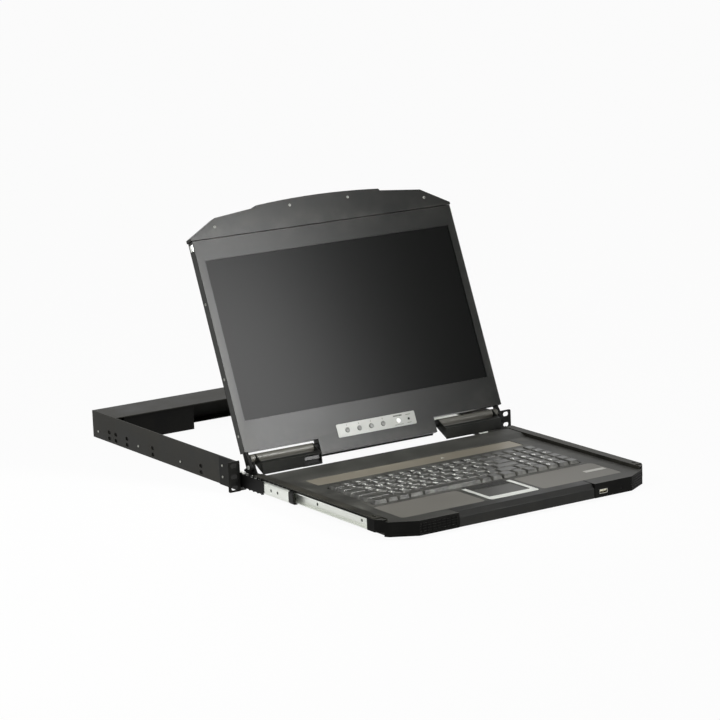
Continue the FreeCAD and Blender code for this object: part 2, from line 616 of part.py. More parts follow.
def make_deck():
    """Top deck with its raised rear band, keyboard window and palm recesses."""
    body = new_body("deck")
    top, under = S.deckRise, S.deckRise - S.deckGauge
    skin, skirt = S.deckGauge, S.trayGauge - S.trayDrop
    profile = [(BAR_REAR, under), (BAR_REAR, top), (-S.bandFoot, top), (-S.bandFront, S.bandRise),
               (-S.bandRear, S.bandRise), (-S.bandRear, skirt), (-S.bandRear - skin, skirt),
               (-S.bandRear - skin, S.bandRise - skin), (-S.bandFront - skin / 4, S.bandRise - skin),
               (-S.bandFoot - skin / 4, under)]
    prism(body, "YZ_Plane", [polygon(profile)], -DECK_HALF, DECK_HALF)
    margin = S.keyMargin
    keys = rectangle(-KEYBOARD_HALF - margin, KEYS_REAR - KEYBOARD_DEPTH - margin,
                     KEYBOARD_HALF + margin, KEYS_REAR + margin)
    clicks = rectangle(-S.padWidth / 2 - S.stemFit, CLICK_REAR - S.clickDepth - S.stemFit,
                       S.padWidth / 2 + S.stemFit, CLICK_REAR + S.stemFit)
    prism(body, "XY_Plane", [keys, clicks], under - TRIM, top + TRIM, cut=True)
    strip = rectangle(-S.stripWidth / 2, -S.stripRear - S.stripDepth, S.stripWidth / 2, -S.stripRear)
    prism(body, "XY_Plane", [strip], top - S.stripSink, top + TRIM, cut=True)
    pad = rectangle(-S.padWidth / 2 - S.panelFit, PAD_REAR - S.padDepth - S.panelFit,
                    S.padWidth / 2 + S.panelFit, PAD_REAR + S.panelFit)
    prism(body, "XY_Plane", [pad], top - S.padSink - S.padGauge, top + TRIM, cut=True)
    palms = [rectangle(*palm) for palm in palm_corners()]
    prism(body, "XY_Plane", palms, top - S.palmSink, top + TRIM, cut=True)
    blend(body, "Fillet", is_palm_corner, S.palmCorner)


def palm_corners():
    """Left and right palm recess as x low, y low, x high, y high."""
    for side in SIDES.values():
        band = span(side, S.palmInside, DECK_HALF - S.palmEdge)
        yield band[0], PALM_FRONT, band[1], PALM_FRONT + S.palmDepth


def is_palm_corner(edge):
    if not runs_along(edge, AXIS_Z):
        return False
    spot = edge.CenterOfMass
    return any(near(spot.x, x) and near(spot.y, y)
               for low_x, low_y, high_x, high_y in palm_corners()
               for x in (low_x, high_x) for y in (low_y, high_y))


def make_accent_strip():
    """Bright inlay in the recess behind the keyboard."""
    body = new_body("accent_strip")
    fit, floor = S.panelFit, S.deckRise - S.stripSink
    inlay = rectangle(fit - S.stripWidth / 2, fit - S.stripRear - S.stripDepth,
                      S.stripWidth / 2 - fit, -S.stripRear - fit)
    prism(body, "XY_Plane", [inlay], floor, floor + S.stripGauge)


def make_keyboard_base():
    """Key tub hung under the deck: guide plate with a slot for each row, rim and flange."""
    body = new_body("keyboard_base")
    half, rear = KEYBOARD_HALF + S.keyMargin, KEYS_REAR + S.keyMargin
    front = KEYS_REAR - KEYBOARD_DEPTH - S.keyMargin
    fit, rim, top = S.stemFit / 2, S.baseRim, S.deckRise - S.deckGauge
    half, rear, front = half + rim, rear + rim, front - rim
    plate_top = -S.baseDrop
    prism(body, "XY_Plane", [rectangle(-half, front, half, rear)], plate_top - S.baseGauge, plate_top)
    inner = rectangle(rim - half, front + rim, half - rim, rear - rim)
    reach = S.baseFlange
    prism(body, "XY_Plane", [rectangle(-half, front, half, rear), inner], plate_top, top)
    lip = rectangle(-half - reach, front - reach, half + reach, rear + reach)
    prism(body, "XY_Plane", [lip, inner], top - S.baseFlangeGauge, top)
    third = 2 * (half - rim) / 3
    slots = []
    for row in range(len(KEY_ROWS)):
        centre = KEYS_REAR - (row + 0.5) * S.keyRow
        for part in range(3):
            start = rim - half + part * third
            slots.append(rectangle(start + 2 * fit, centre - S.stemWidth / 2 - S.stemFit,
                                   start + third - 2 * fit, centre + S.stemWidth / 2 + S.stemFit))
    prism(body, "XY_Plane", slots, plate_top - S.baseGauge - TRIM, plate_top + TRIM, cut=True)


def key_cap(start, units, row):
    """One tapered cap on its stem; a long key has two stems."""
    unit, pitch, gap, taper = value(S.keySpacing), value(S.keyRow), value(S.keyGap), value(S.keyTaper)
    low_x, high_x = start * unit + gap / 2, (start + units) * unit - gap / 2
    low_y, high_y = -(row + 1) * pitch + gap / 2, -row * pitch - gap / 2
    foot, top = -value(S.keyFoot), value(S.keyTop)
    outlines = []
    for inset, level in ((0, foot), (taper, top)):
        corners = [(low_x + inset, low_y + inset), (high_x - inset, low_y + inset),
                   (high_x - inset, high_y - inset / 2), (low_x + inset, high_y - inset / 2)]
        corners.append(corners[0])
        outlines.append(Part.makePolygon([Vector(x, y, level) for x, y in corners]))
    solid = Part.makeLoft(outlines, True, True)
    wide, centre_y = value(S.stemWidth), (low_y + high_y) / 2
    stem_low = -value(S.baseDrop + S.baseGauge) + value(S.keyTravel) / 5
    shares = (0.5,) if units < 2 else (0.25, 0.75)
    for share in shares:
        centre_x = clear_of_webs(low_x + share * (high_x - low_x))
        stem = Part.makeBox(wide, wide, foot - stem_low,
                            Vector(centre_x - wide / 2, centre_y - wide / 2, stem_low))
        solid = solid.fuse(stem)
    return solid


def clear_of_webs(centre):
    """Moves a stem off the two webs between the guide plate's slots."""
    full = 2 * value(KEYBOARD_HALF + S.keyMargin)
    reach = value(S.stemWidth) / 2 + 2 * value(S.stemFit)
    for part in (1, 2):
        web = part * full / 3 - value(S.keyMargin)
        if abs(centre - web) < reach:
            centre = web + (reach if centre >= web else -reach)
    return centre


def place_keys(label, caps):
    keys = Part.makeCompound(caps)
    keys.translate(Vector(-value(KEYBOARD_HALF), value(KEYS_REAR), 0))
    new_feature(label, keys)


def make_keys():
    for row, (label, widths) in enumerate(KEY_ROWS.items()):
        start, caps = 0, []
        for units in widths:
            if units is None:
                place_keys("space_bar", [key_cap(start, SPACE_UNITS, row)])
                start += SPACE_UNITS
                continue
            caps.append(key_cap(start, units, row))
            start += units
        place_keys(label, caps)


def make_touchpad():
    body = new_body("touchpad")
    floor = S.deckRise - S.padSink - S.padGauge
    pad = rectangle(-S.padWidth / 2, PAD_REAR - S.padDepth, S.padWidth / 2, PAD_REAR)
    prism(body, "XY_Plane", [pad], floor, floor + S.padGauge)


def make_pad_frame():
    """Bright U-shaped trim round the touchpad, its front bar wider than its legs."""
    body = new_body("pad_frame")
    half, leg, rear = S.frameWidth / 2, S.frameLeg, FRAME_FRONT + S.frameDepth
    inner_front = FRAME_FRONT + S.frameBar
    plan = [(-half, rear), (-half, FRAME_FRONT), (half, FRAME_FRONT), (half, rear),
            (half - leg, rear), (half - leg, inner_front), (leg - half, inner_front),
            (leg - half, rear)]
    prism(body, "XY_Plane", [polygon(plan)], S.deckRise, S.deckRise + S.frameProud)
    corner = value(half)
    blend(body, "Fillet", lambda e: runs_along(e, AXIS_Z) and near(abs(e.CenterOfMass.x), corner)
          and near(e.CenterOfMass.y, FRAME_FRONT), S.frameCorner)


def make_pad_button(name, side):
    """Click button with three ribs across its top."""
    body = new_body(f"pad_button_{name}")
    band = span(side, S.stemFit / 2, S.padWidth / 2)
    rear, top = CLICK_REAR, S.deckRise + S.clickProud
    prism(body, "XY_Plane", [rectangle(band[0], rear - S.clickDepth, band[1], rear)],
          S.deckRise - S.deckGauge, top)
    pitch = S.clickDepth / 4
    ribs = [rectangle(band[0] + pitch / 2, rear - step * pitch - S.clickRib, band[1] - pitch / 2,
                      rear - step * pitch + S.clickRib) for step in (1, 2, 3)]
    prism(body, "XY_Plane", ribs, top, top + S.clickRib)


def make_front_bar():
    """Centre of the bumper: upright face with a bevelled top."""
    body = new_body("front_bar")
    face, top = -S.drawerReach, S.bumperRise
    profile = [(BAR_REAR, -S.bumperDrop), (face, -S.bumperDrop), (face, -S.barCrease),
               (face + S.barBevel, top), (BAR_REAR, top)]
    prism(body, "YZ_Plane", [polygon(profile)], -S.barWidth / 2, S.barWidth / 2)


def make_grip(name, side):
    """Bumper end: chamfered block with grip grooves and a guide block behind it."""
    body = new_body(f"grip_{name}")
    face, inner, shoulder = -S.drawerReach, GRIP_IN, TRAY_OUT + S.gripOverhang
    turn_y = face + S.gripCorner
    plan = [(inner, BAR_REAR), (inner, face), (GRIP_TURN, face), (TRAY_OUT, turn_y),
            (shoulder, BAR_REAR)]
    prism(body, "XY_Plane", [polygon([(side * x, y) for x, y in plan])], -S.bumperDrop, S.bumperRise)
    near_x, far_x = TRAY_OUT + S.panelFit, RAIL_IN - S.blockFit
    block_rear = BAR_REAR + S.blockDepth
    block = [(near_x, BAR_REAR), (shoulder, BAR_REAR), (far_x, BAR_REAR + S.blockTurn),
             (far_x, block_rear), (near_x, block_rear)]
    prism(body, "XY_Plane", [polygon([(side * x, y) for x, y in block])],
          -S.blockDrop, S.flangeRise - S.trayGauge - S.panelFit)
    sink = S.ribSink
    if side > 0:
        groove = [(GRIP_TURN - 3 * sink, face - TRIM), (GRIP_TURN + TRIM / 2, face - TRIM),
                  (TRAY_OUT + TRIM, turn_y - TRIM), (TRAY_OUT + TRIM, turn_y), (TRAY_OUT - sink, turn_y),
                  (GRIP_TURN - sink / 2, face + sink), (GRIP_TURN - 3 * sink, face + sink)]
    else:
        groove = [(inner + 3 * sink, face - TRIM), (GRIP_TURN - sink, face - TRIM),
                  (GRIP_TURN - sink, face + sink), (inner + 3 * sink, face + sink)]
    base = S.ribFirst - S.bumperDrop
    rib = prism(body, "XY_Plane", [polygon([(side * x, y) for x, y in groove])],
                base, base + S.ribWidth, cut=True)
    rows = body.newObject("PartDesign::LinearPattern", f"{body.Label}_grooves")
    rows.Originals = [rib]
    rows.Direction = (origin_plane(body, "XY_Plane"), [""])
    rows.Occurrences = 5
    bind(rows, "Length", 4 * S.ribStep)
    body.Tip = rows
    if side < 0:
        at = S.waffleFirst - GRIP_TURN
        cross = prism(body, "XZ_Plane", [rectangle(at, base, at + S.ribWidth, base + 4 * S.ribStep + S.ribWidth)],
                      face - TRIM, face + sink, cut=True)
        columns = body.newObject("PartDesign::LinearPattern", f"{body.Label}_columns")
        columns.Originals = [cross]
        columns.Direction = (origin_plane(body, "YZ_Plane"), [""])
        columns.Occurrences = 8
        bind(columns, "Length", 7 * S.waffleStep)
        body.Tip = columns
    if side > 0:
        width, tall = S.usbWide / 2 + S.usbFit, S.usbTall / 2 + S.usbFit
        port = rectangle(USB_X - width, -S.usbDrop - tall, USB_X + width, tall - S.usbDrop)
        prism(body, "XZ_Plane", [port], face - TRIM, face + S.usbDepth + S.usbFit, cut=True)
        lamp = circle(GRIP_TURN - S.lampInset, -S.lampDrop, S.lampWidth)
        prism(body, "XZ_Plane", [lamp], face - TRIM, face + S.lampWidth, cut=True)


def make_usb_socket():
    """Metal shell with its contact tongue, open to the front."""
    body = new_body("usb_socket")
    half_wide, half_tall, wall, deep = S.usbWide / 2, S.usbTall / 2, S.usbGauge, S.usbDepth
    prism(body, "XZ_Plane", [rectangle(-half_wide, -half_tall, half_wide, half_tall)], 0, deep)
    prism(body, "XZ_Plane", [rectangle(wall - half_wide, wall - half_tall, half_wide - wall, half_tall - wall)],
          -TRIM, deep - S.usbTongue, cut=True)
    reach = half_wide - 2 * wall
    prism(body, "XZ_Plane", [rectangle(-reach, half_tall - 2 * wall - S.usbTongue, reach, half_tall - 2 * wall)],
          S.usbTongue, deep)
    bind(body, "Placement.Base.x", USB_X)
    bind(body, "Placement.Base.y", -S.drawerReach)
    bind(body, "Placement.Base.z", -S.usbDrop)


# ------------------------------------------------------------------ hinges
def make_hinge_bracket(name, side):
    """Plate on the tray wall that carries the hinge pin."""
    body = new_body(f"hinge_bracket_{name}")
    band = span(side, TRAY_OUT, BRACKET_OUT)
    centre, radius = (-S.pivotAhead, S.pivotRise), S.bracketRadius
    plate = [(-S.bracketFront, S.bracketFoot), (S.armReach, S.bracketFoot), (S.armReach, S.armRise),
             (centre[0] + radius, centre[1]), (centre[0] - radius, centre[1]),
             (-S.bracketFront + radius, S.armRise), (-S.bracketFront, S.armRise)]
    prism(body, "YZ_Plane", [polygon(plate)], *band)
    prism(body, "YZ_Plane", [circle(*centre, 2 * radius)], *band)
    prism(body, "YZ_Plane", [circle(*centre, S.pinWidth + 2 * S.pinFit)],
          band[0] - TRIM, band[1] + TRIM, cut=True)


def make_hinge_pins():
    """Headed pins through the brackets and the display's arms."""
    pins = []
    start, end = value(TRAY_OUT - S.pinHeadGauge), value(ARM_OUT + S.armGap)
    shank, head = value(S.pinWidth) / 2, value(S.pinHead) / 2
    gap = value(S.panelFit)
    for side in SIDES.values():
        pin = Part.makeCylinder(shank, end - start + gap, Vector(start - gap, 0, 0), AXIS_X)
        cap = Part.makeCylinder(head, value(S.pinHeadGauge), Vector(start - gap, 0, 0), AXIS_X)
        whole = pin.fuse(cap).removeSplitter()
        if side < 0:
            whole = whole.mirror(Vector(), AXIS_X)
        whole.translate(Vector(0, -value(S.pivotAhead), value(S.pivotRise)))
        pins.append(whole)
    new_feature("hinge_pins", Part.makeCompound(pins))


def make_hinge_arm(name, side):
    """Display arm: knuckle on the pin and a flat shank inside the display's shell."""
    body = seat_on_display(new_body(f"hinge_arm_{name}"))
    band = span(side, ARM_IN, ARM_OUT)
    radius, back, front = S.armRadius, BEZEL_BACK + S.armSeat, -S.armFront
    shank = [(PIVOT[0], PIVOT[1] - radius), (0, back), (S.armTop, back), (S.armTop, front),
             (0 - S.lcdWall, front), (PIVOT[0], PIVOT[1] + radius)]
    prism(body, "YZ_Plane", [polygon(shank)], *band)
    prism(body, "YZ_Plane", [circle(*PIVOT, 2 * radius)], *band)
    prism(body, "YZ_Plane", [circle(*PIVOT, S.pinWidth + 2 * S.pinFit)],
          band[0] - TRIM, band[1] + TRIM, cut=True)


def make_hinge_barrel(name, side):
    """Torque tube between the display's tongue and its arm, with a journal at each end."""
    body = seat_on_display(new_body(f"hinge_barrel_{name}"))
    inner_end, outer_end = TONGUE_HALF - S.lcdWall, ARM_IN - S.panelFit
    shoulder = S.shroudGauge + S.barrelFit
    prism(body, "YZ_Plane", [circle(*BARREL, S.journalWidth)], *span(side, inner_end, outer_end))
    prism(body, "YZ_Plane", [circle(*BARREL, S.barrelWidth)],
          *span(side, SHROUD_NEAR + shoulder, SHROUD_FAR - shoulder))


def make_hinge_cover(name, side):
    """Bent cover in front of the barrel, hung on the barrel's journals by its end caps."""
    body = seat_on_display(new_body(f"hinge_cover_{name}"))
    gauge = S.shroudGauge
    top, bend = (S.shroudTop, S.shroudTopOut), (S.shroudBend, S.shroudBendOut)
    low = (S.shroudLow, S.shroudLowOut)
    skin = [top, bend, low, (low[0] + gauge / 4, low[1] - gauge),
            (bend[0] + gauge / 4, bend[1] - gauge * 5 / 4), (top[0] - gauge / 4, top[1] - gauge)]
    prism(body, "YZ_Plane", [polygon(skin)], *span(side, SHROUD_NEAR, SHROUD_FAR))
    if side < 0:
        add_cover_recess(body, side, bend, low)
    lean = S.barrelWidth * 0.35
    cap = [(BARREL[0] - lean, BARREL[1] - lean), low, bend, top, (BARREL[0] + lean, BARREL[1] + lean)]
    for near_x, far_x in ((SHROUD_NEAR, SHROUD_NEAR + gauge), (SHROUD_FAR - gauge, SHROUD_FAR)):
        band = span(side, near_x, far_x)
        prism(body, "YZ_Plane", [polygon(cap)], *band)
        prism(body, "YZ_Plane", [circle(*BARREL, S.barrelWidth)], *band)
        prism(body, "YZ_Plane", [circle(*BARREL, S.journalWidth + 2 * S.journalFit)],
              band[0] - TRIM, band[1] + TRIM, cut=True)


def add_cover_recess(body, side, bend, low):
    """Boxed recess at the cover's inner end, with a raised tab across its upper half."""
    gauge, floor = S.shroudGauge, S.recessFloor
    block = [(low[0], low[1] - gauge / 2), (low[0], floor - gauge), (bend[0], floor - gauge),
             (bend[0], bend[1] - gauge)]
    near_x, far_x = SHROUD_NEAR, SHROUD_NEAR + S.recessLong + 2 * gauge
    prism(body, "YZ_Plane", [polygon(block)], *span(side, near_x, far_x))
    window = span(side, near_x + gauge, far_x - gauge)
    middle = (bend[0] + low[0]) / 2
    half_tall, above = S.recessTall / 2, S.shroudBendOut + TRIM
    prism(body, "XY_Plane", [rectangle(window[0], middle - half_tall, window[1], middle + half_tall)],
          floor, above, cut=True)
    tab = span(side, near_x + 2 * gauge, far_x - 2 * gauge)
    tab_top = middle + half_tall - gauge / 2
    prism(body, "XY_Plane", [rectangle(tab[0], tab_top - S.tabTall, tab[1], tab_top)],
          floor, floor + S.tabProud)


# ------------------------------------------------------------------ display
def shell_outline(inset):
    """Front outline: wide plate with a tongue between the hinge notches."""
    half, tongue = LCD_HALF - inset, TONGUE_HALF - inset
    foot, low, top = inset, inset - S.tongueDrop, LCD_TALL - inset
    return [(-half, foot), (-tongue, foot), (-tongue, low), (tongue, low), (tongue, foot),
            (half, foot), (half, top), (-half, top)]


def arch_outline(foot):
    """Header outline from its foot line up to the arched crown."""
    crown = (0, LCD_TALL + S.archRise)
    right = [(HEADER_HALF, foot), (HEADER_HALF, LCD_TALL + S.lugRise),
             (HEADER_HALF - S.shoulderInset, LCD_TALL + S.shoulderRise),
             (S.stepOut, LCD_TALL + S.stepRise), (S.archOut, LCD_TALL + S.archStart)]
    left = [(-x, y) for x, y in reversed(right)]
    rise = S.archRise - S.archStart
    radius = (S.archOut * S.archOut + rise * rise) / (2 * rise)
    return right + left, (len(right) - 1, radius, crown)


def control_holes(width):
    places = [S.buttonFirst + step * S.buttonStep for step in range(4)] + [S.powerAcross]
    return [circle(place, S.buttonUp, width) for place in places]


def make_lcd_bezel():
    """Front frame with folded sides, screen window, and openings for arms and journals."""
    body = seat_on_display(new_body("lcd_bezel"))
    wall = S.lcdWall
    prism(body, "XY_Plane", [polygon(shell_outline(0))], BEZEL_BACK, 0)
    prism(body, "XY_Plane", [polygon(shell_outline(wall))], BEZEL_BACK - TRIM, -wall, cut=True)
    window = rectangle(-WINDOW_HALF, S.windowFoot, WINDOW_HALF, S.windowFoot + S.windowTall)
    holes = control_holes(S.buttonWidth + 2 * S.buttonFit)
    prism(body, "XY_Plane", [window] + holes, -wall - TRIM, TRIM, cut=True)
    fit = S.armGap
    for side in SIDES.values():
        band = span(side, ARM_IN - fit, ARM_OUT + fit)
        prism(body, "XZ_Plane", [rectangle(band[0], BEZEL_BACK - TRIM, band[1], fit - S.armFront)],
              -TRIM, wall + TRIM, cut=True)
        edge = span(side, TONGUE_HALF - wall - TRIM, TONGUE_HALF + TRIM)
        prism(body, "YZ_Plane", [circle(*BARREL, S.journalWidth + 2 * S.journalFit)], *edge, cut=True)


def make_lcd_back():
    """Rear cover sheet, cut to the whole outline of the display and its header."""
    body = seat_on_display(new_body("lcd_back"))
    header, arc = arch_outline(LCD_TALL)
    half, tongue, low = LCD_HALF, TONGUE_HALF, -S.tongueDrop - S.backLip
    foot = [(-half, LCD_TALL), (-half, 0), (-tongue, 0), (-tongue, low),
            (tongue, low), (tongue, 0), (half, 0), (half, LCD_TALL)]
    prism(body, "XY_Plane", [polygon(header + foot, arc)], -S.lcdDepth, BEZEL_BACK)


def make_lcd_header():
    """Arched header cap above the bezel, hollow towards the rear cover."""
    body = seat_on_display(new_body("lcd_header"))
    points, arc = arch_outline(LCD_TALL + S.headerGap)
    prism(body, "XY_Plane", [polygon(points, arc)], BEZEL_BACK, 0)
    doc.recompute()
    base = body.Tip
    back = next(index for index, face in enumerate(base.Shape.Faces, start=1)
                if abs(face.normalAt(0, 0).z) > 0.999 and near(face.CenterOfMass.z, BEZEL_BACK))
    hollow = body.newObject("PartDesign::Thickness", "lcd_header_hollow")
    hollow.Base = (base, [f"Face{back}"])
    hollow.Reversed = True
    bind(hollow, "Value", S.headerWall)


def make_lcd_panel():
    body = seat_on_display(new_body("lcd_panel"))
    half, edge = WINDOW_HALF + S.panelBorder, S.panelBorder
    outline = rectangle(-half, S.windowFoot - edge, half, S.windowFoot + S.windowTall + edge)
    prism(body, "XY_Plane", [outline], -S.lcdWall - S.panelDepth, -S.lcdWall)


def make_lcd_board():
    """Driver board behind the panel."""
    body = seat_on_display(new_body("lcd_board"))
    seat = -S.lcdWall - S.panelDepth
    outline = rectangle(-S.boardWide / 2, S.boardFoot, S.boardWide / 2, S.boardFoot + S.boardHigh)
    prism(body, "XY_Plane", [outline], seat - S.boardGauge, seat)


def make_control_plate():
    """Bright plate round the display's buttons."""
    body = seat_on_display(new_body("control_plate"))
    wide, tall = S.plateWidth / 2, S.plateTall / 2
    outline = rectangle(S.plateAcross - wide, S.plateUp - tall, S.plateAcross + wide, S.plateUp + tall)
    prism(body, "XY_Plane", [outline] + control_holes(S.buttonWidth + 2 * S.buttonFit), 0, S.plateGauge)
    blend(body, "Fillet", lambda e: runs_along(e, AXIS_Z), S.plateCorner)


def make_button(label, across):
    """Round push button, kept in the bezel by a flange behind its plate."""
    body = seat_on_display(new_body(label))
    back = -S.lcdWall
    prism(body, "XY_Plane", [circle(across, S.buttonUp, S.buttonWidth)],
          back - S.buttonTravel, S.plateGauge + S.buttonProud)
    prism(body, "XY_Plane", [circle(across, S.buttonUp, S.buttonFlange)],
          back - S.buttonTravel - S.panelFit, back - S.panelFit)


def make_lcd_screws():
    """Four screws in the header's face and three in each side of the bezel."""
    heads = []
    for side in SIDES.values():
        for across, up in ((HEADER_HALF - S.screwOuterInset, LCD_TALL + S.screwOuterRise),
                           (S.screwInnerAcross, LCD_TALL + S.screwInnerRise)):
            head = dome(S.screwWidth, S.screwProud)
            head.translate(Vector(side * value(across), value(up), 0))
            heads.append(head)
        for up in (S.sideScrewLow, S.sideScrewMiddle, S.sideScrewHigh):
            head = dome(S.screwWidth, S.screwProud)
            head.rotate(Vector(), AXIS_Y, side * 90)
            head.translate(Vector(side * value(LCD_HALF), value(up), -value(S.lcdDepth) / 2))
            heads.append(head)
    seat_on_display(new_feature("lcd_screws", Part.makeCompound(heads)))


def make_latch_hooks():
    """Hooked plates on the display's sides, below the header."""
    hooks = []
    deep, tall, proud = value(S.hookDeep), value(S.hookTall), value(S.hookProud)
    up, face, back = value(LCD_TALL - S.hookDrop), value(LCD_HALF), value(S.lcdWall)
    plan = [(face, -back - deep), (face + proud / 2, -back - deep), (face + proud / 2, -back - deep / 2),
            (face + proud, -back - deep / 3), (face + proud, -back), (face, -back)]
    for side in SIDES.values():
        corners = [Vector(x, up - tall / 2, z) for x, z in plan + plan[:1]]
        hook = Part.Face(Part.makePolygon(corners)).extrude(Vector(0, tall, 0))
        if side < 0:
            hook = hook.mirror(Vector(), AXIS_X)
        hooks.append(hook)
    seat_on_display(new_feature("latch_hooks", Part.makeCompound(hooks)))


# ------------------------------------------------------------------ the whole drawer
def make_all():
    for name, side in SIDES.items():
        make_rail(name, side)
        make_ear(name, side)
        make_slide_outer(name, side)
        make_slide_middle(name, side)
        make_slide_stop(name, side)
        make_ball_cage(name, side)
        make_slide_inner(name, side)
        make_grip(name, side)
        make_pad_button(name, side)
        make_hinge_bracket(name, side)
        make_hinge_arm(name, side)
        make_hinge_barrel(name, side)
        make_hinge_cover(name, side)
    make_rear_channel()
    make_electronics_box()
    make_power_jack()
    make_console_port()
    make_chassis_rivets()
    make_drawer_tray()
    make_deck()
    make_accent_strip()
    make_keyboard_base()
    make_keys()
    make_touchpad()
    make_pad_frame()
    make_front_bar()
    make_usb_socket()
    make_hinge_pins()
    make_lcd_bezel()
    make_lcd_back()
    make_lcd_header()
    make_lcd_panel()
    make_lcd_board()
    make_control_plate()
    make_lcd_screws()
    make_latch_hooks()
    for number in range(4):
        make_button(f"menu_button_{number + 1}", S.buttonFirst + number * S.buttonStep)
    make_button("power_button", S.powerAcross)


def check_and_write():
    """Stops on any failed feature or empty cut, then writes one STEP file per sub-part."""
    doc.recompute()
    for item in doc.Objects:
        if {"Invalid", "Error"} & set(item.State):
            raise RuntimeError(f"{item.Label} failed: {item.State}")
        if item.TypeId == "PartDesign::Pocket" and item.Shape.Volume >= item.BaseFeature.Shape.Volume - 1e-6:
            raise RuntimeError(f"{item.Label} cuts nothing")
    for item in SUBPARTS:
        if item.Shape.isNull() or not item.Shape.isValid():
            raise RuntimeError(f"{item.Label} has no sound shape")
        item.Shape.exportStep(f"parts/{item.Label}.step")
    print(f"{len(SUBPARTS)} sub-parts written")


make_all()
check_and_write()
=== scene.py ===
import json
import math

import bmesh
import bpy
from mathutils import Matrix, Vector

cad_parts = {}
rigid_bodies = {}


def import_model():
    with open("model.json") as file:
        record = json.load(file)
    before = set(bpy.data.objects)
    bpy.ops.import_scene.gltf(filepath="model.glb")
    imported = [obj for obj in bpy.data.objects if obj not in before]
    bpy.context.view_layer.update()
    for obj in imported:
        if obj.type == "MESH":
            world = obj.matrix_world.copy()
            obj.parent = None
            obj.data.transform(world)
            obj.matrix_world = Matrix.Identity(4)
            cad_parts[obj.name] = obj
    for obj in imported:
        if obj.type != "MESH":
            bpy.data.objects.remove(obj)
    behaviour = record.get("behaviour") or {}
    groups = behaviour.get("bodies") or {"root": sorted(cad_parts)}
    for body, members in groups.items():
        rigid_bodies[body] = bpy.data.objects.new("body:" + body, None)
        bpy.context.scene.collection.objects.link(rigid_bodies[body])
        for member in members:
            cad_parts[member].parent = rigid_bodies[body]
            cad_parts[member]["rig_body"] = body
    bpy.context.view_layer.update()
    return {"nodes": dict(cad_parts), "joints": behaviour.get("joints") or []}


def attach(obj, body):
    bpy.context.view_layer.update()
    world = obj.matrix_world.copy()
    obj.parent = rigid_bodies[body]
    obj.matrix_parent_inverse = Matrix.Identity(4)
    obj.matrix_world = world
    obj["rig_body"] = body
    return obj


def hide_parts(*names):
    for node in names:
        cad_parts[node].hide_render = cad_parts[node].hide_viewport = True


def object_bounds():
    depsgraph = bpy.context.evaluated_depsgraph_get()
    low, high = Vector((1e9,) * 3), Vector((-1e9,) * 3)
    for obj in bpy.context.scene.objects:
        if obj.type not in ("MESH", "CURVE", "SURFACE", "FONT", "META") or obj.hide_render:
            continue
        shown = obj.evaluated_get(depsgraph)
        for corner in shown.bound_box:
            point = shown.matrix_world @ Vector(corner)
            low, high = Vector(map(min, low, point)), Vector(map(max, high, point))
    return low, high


for leftover in list(bpy.data.objects):
    bpy.data.objects.remove(leftover)
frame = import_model()
nodes = frame["nodes"]
collection = bpy.context.scene.collection
mm = 0.001


# ---- small tools

def toLinear(code):  # sRGB hex to the linear colour that a shader takes
    parts = [int(code[at:at + 2], 16) / 255 for at in (0, 2, 4)]
    return [p / 12.92 if p <= 0.04045 else ((p + 0.055) / 1.055) ** 2.4 for p in parts] + [1.0]


def addNode(tree, kind, settings=None, links=None):
    node = tree.nodes.new("ShaderNode" + kind)
    for name, value in (settings or {}).items():
        if isinstance(name, str) and hasattr(node, name):
            setattr(node, name, value)
        else:
            node.inputs[name].default_value = value
    for name, source in (links or {}).items():
        tree.links.new(source, node.inputs[name])
    return node


def startMaterial(name):
    material = bpy.data.materials.new(name)
    material.use_nodes = True
    material.node_tree.nodes.clear()
    return material, material.node_tree


# A finish of one base colour with slow mottling, fine grain in the surface, and edges painted
# lighter as a painted highlight. Sizes of patterns are in millimetres on the real surface.
def makeFinish(name, look):
    material, tree = startMaterial(name)
    place = addNode(tree, "TexCoord").outputs["Object"]
    stretched = addNode(tree, "Mapping", {"Scale": look.get("stretch", (1, 1, 1))},
                        {"Vector": place}).outputs[0]
    mottle = addNode(tree, "TexNoise", {"Scale": 1 / (look.get("mottle", 40) * mm), "Detail": 3.0},
                     {"Vector": stretched}).outputs[0]
    grain = addNode(tree, "TexNoise", {"Scale": 1 / (look["grain"] * mm), "Detail": 2.0},
                    {"Vector": stretched}).outputs[0]
    shade = addNode(tree, "MapRange", {"From Min": 0.35, "From Max": 0.65}, {"Value": mottle}).outputs[0]
    colour = addNode(tree, "Mix", {"data_type": "RGBA", 6: toLinear(look["colour"]),
                                   7: toLinear(look.get("second", look["colour"]))}, {0: shade}).outputs[2]
    # Painted highlight: eased edges, found by their pointiness, are mixed towards a lighter colour.
    if "highlightColour" in look:
        edge = addNode(tree, "NewGeometry").outputs["Pointiness"]
        highlightMask = addNode(tree, "MapRange", {"From Min": 0.53, "From Max": 0.62,
                                            "To Max": look.get("highlightShare", 0.5)}, {"Value": edge}).outputs[0]
        patchyHighlightMask = addNode(tree, "Math", {"operation": "MULTIPLY"}, {0: highlightMask, 1: shade}).outputs[0]
        colour = addNode(tree, "Mix", {"data_type": "RGBA", 7: toLinear(look["highlightColour"])},
                         {0: patchyHighlightMask, 6: colour}).outputs[2]
    low, high = look["roughness"]
    rough = addNode(tree, "MapRange", {"From Min": 0.3, "From Max": 0.7, "To Min": low, "To Max": high},
                    {"Value": mottle}).outputs[0]
    bump = addNode(tree, "Bump", {"Strength": 0.5, "Distance": look["depth"] * mm},
                   {"Height": grain}).outputs[0]
    shader = addNode(tree, "BsdfPrincipled", look.get("shader", {}),
                     {"Base Color": colour, "Roughness": rough, "Normal": bump}).outputs[0]
    addNode(tree, "OutputMaterial", {}, {"Surface": shader})
    return material


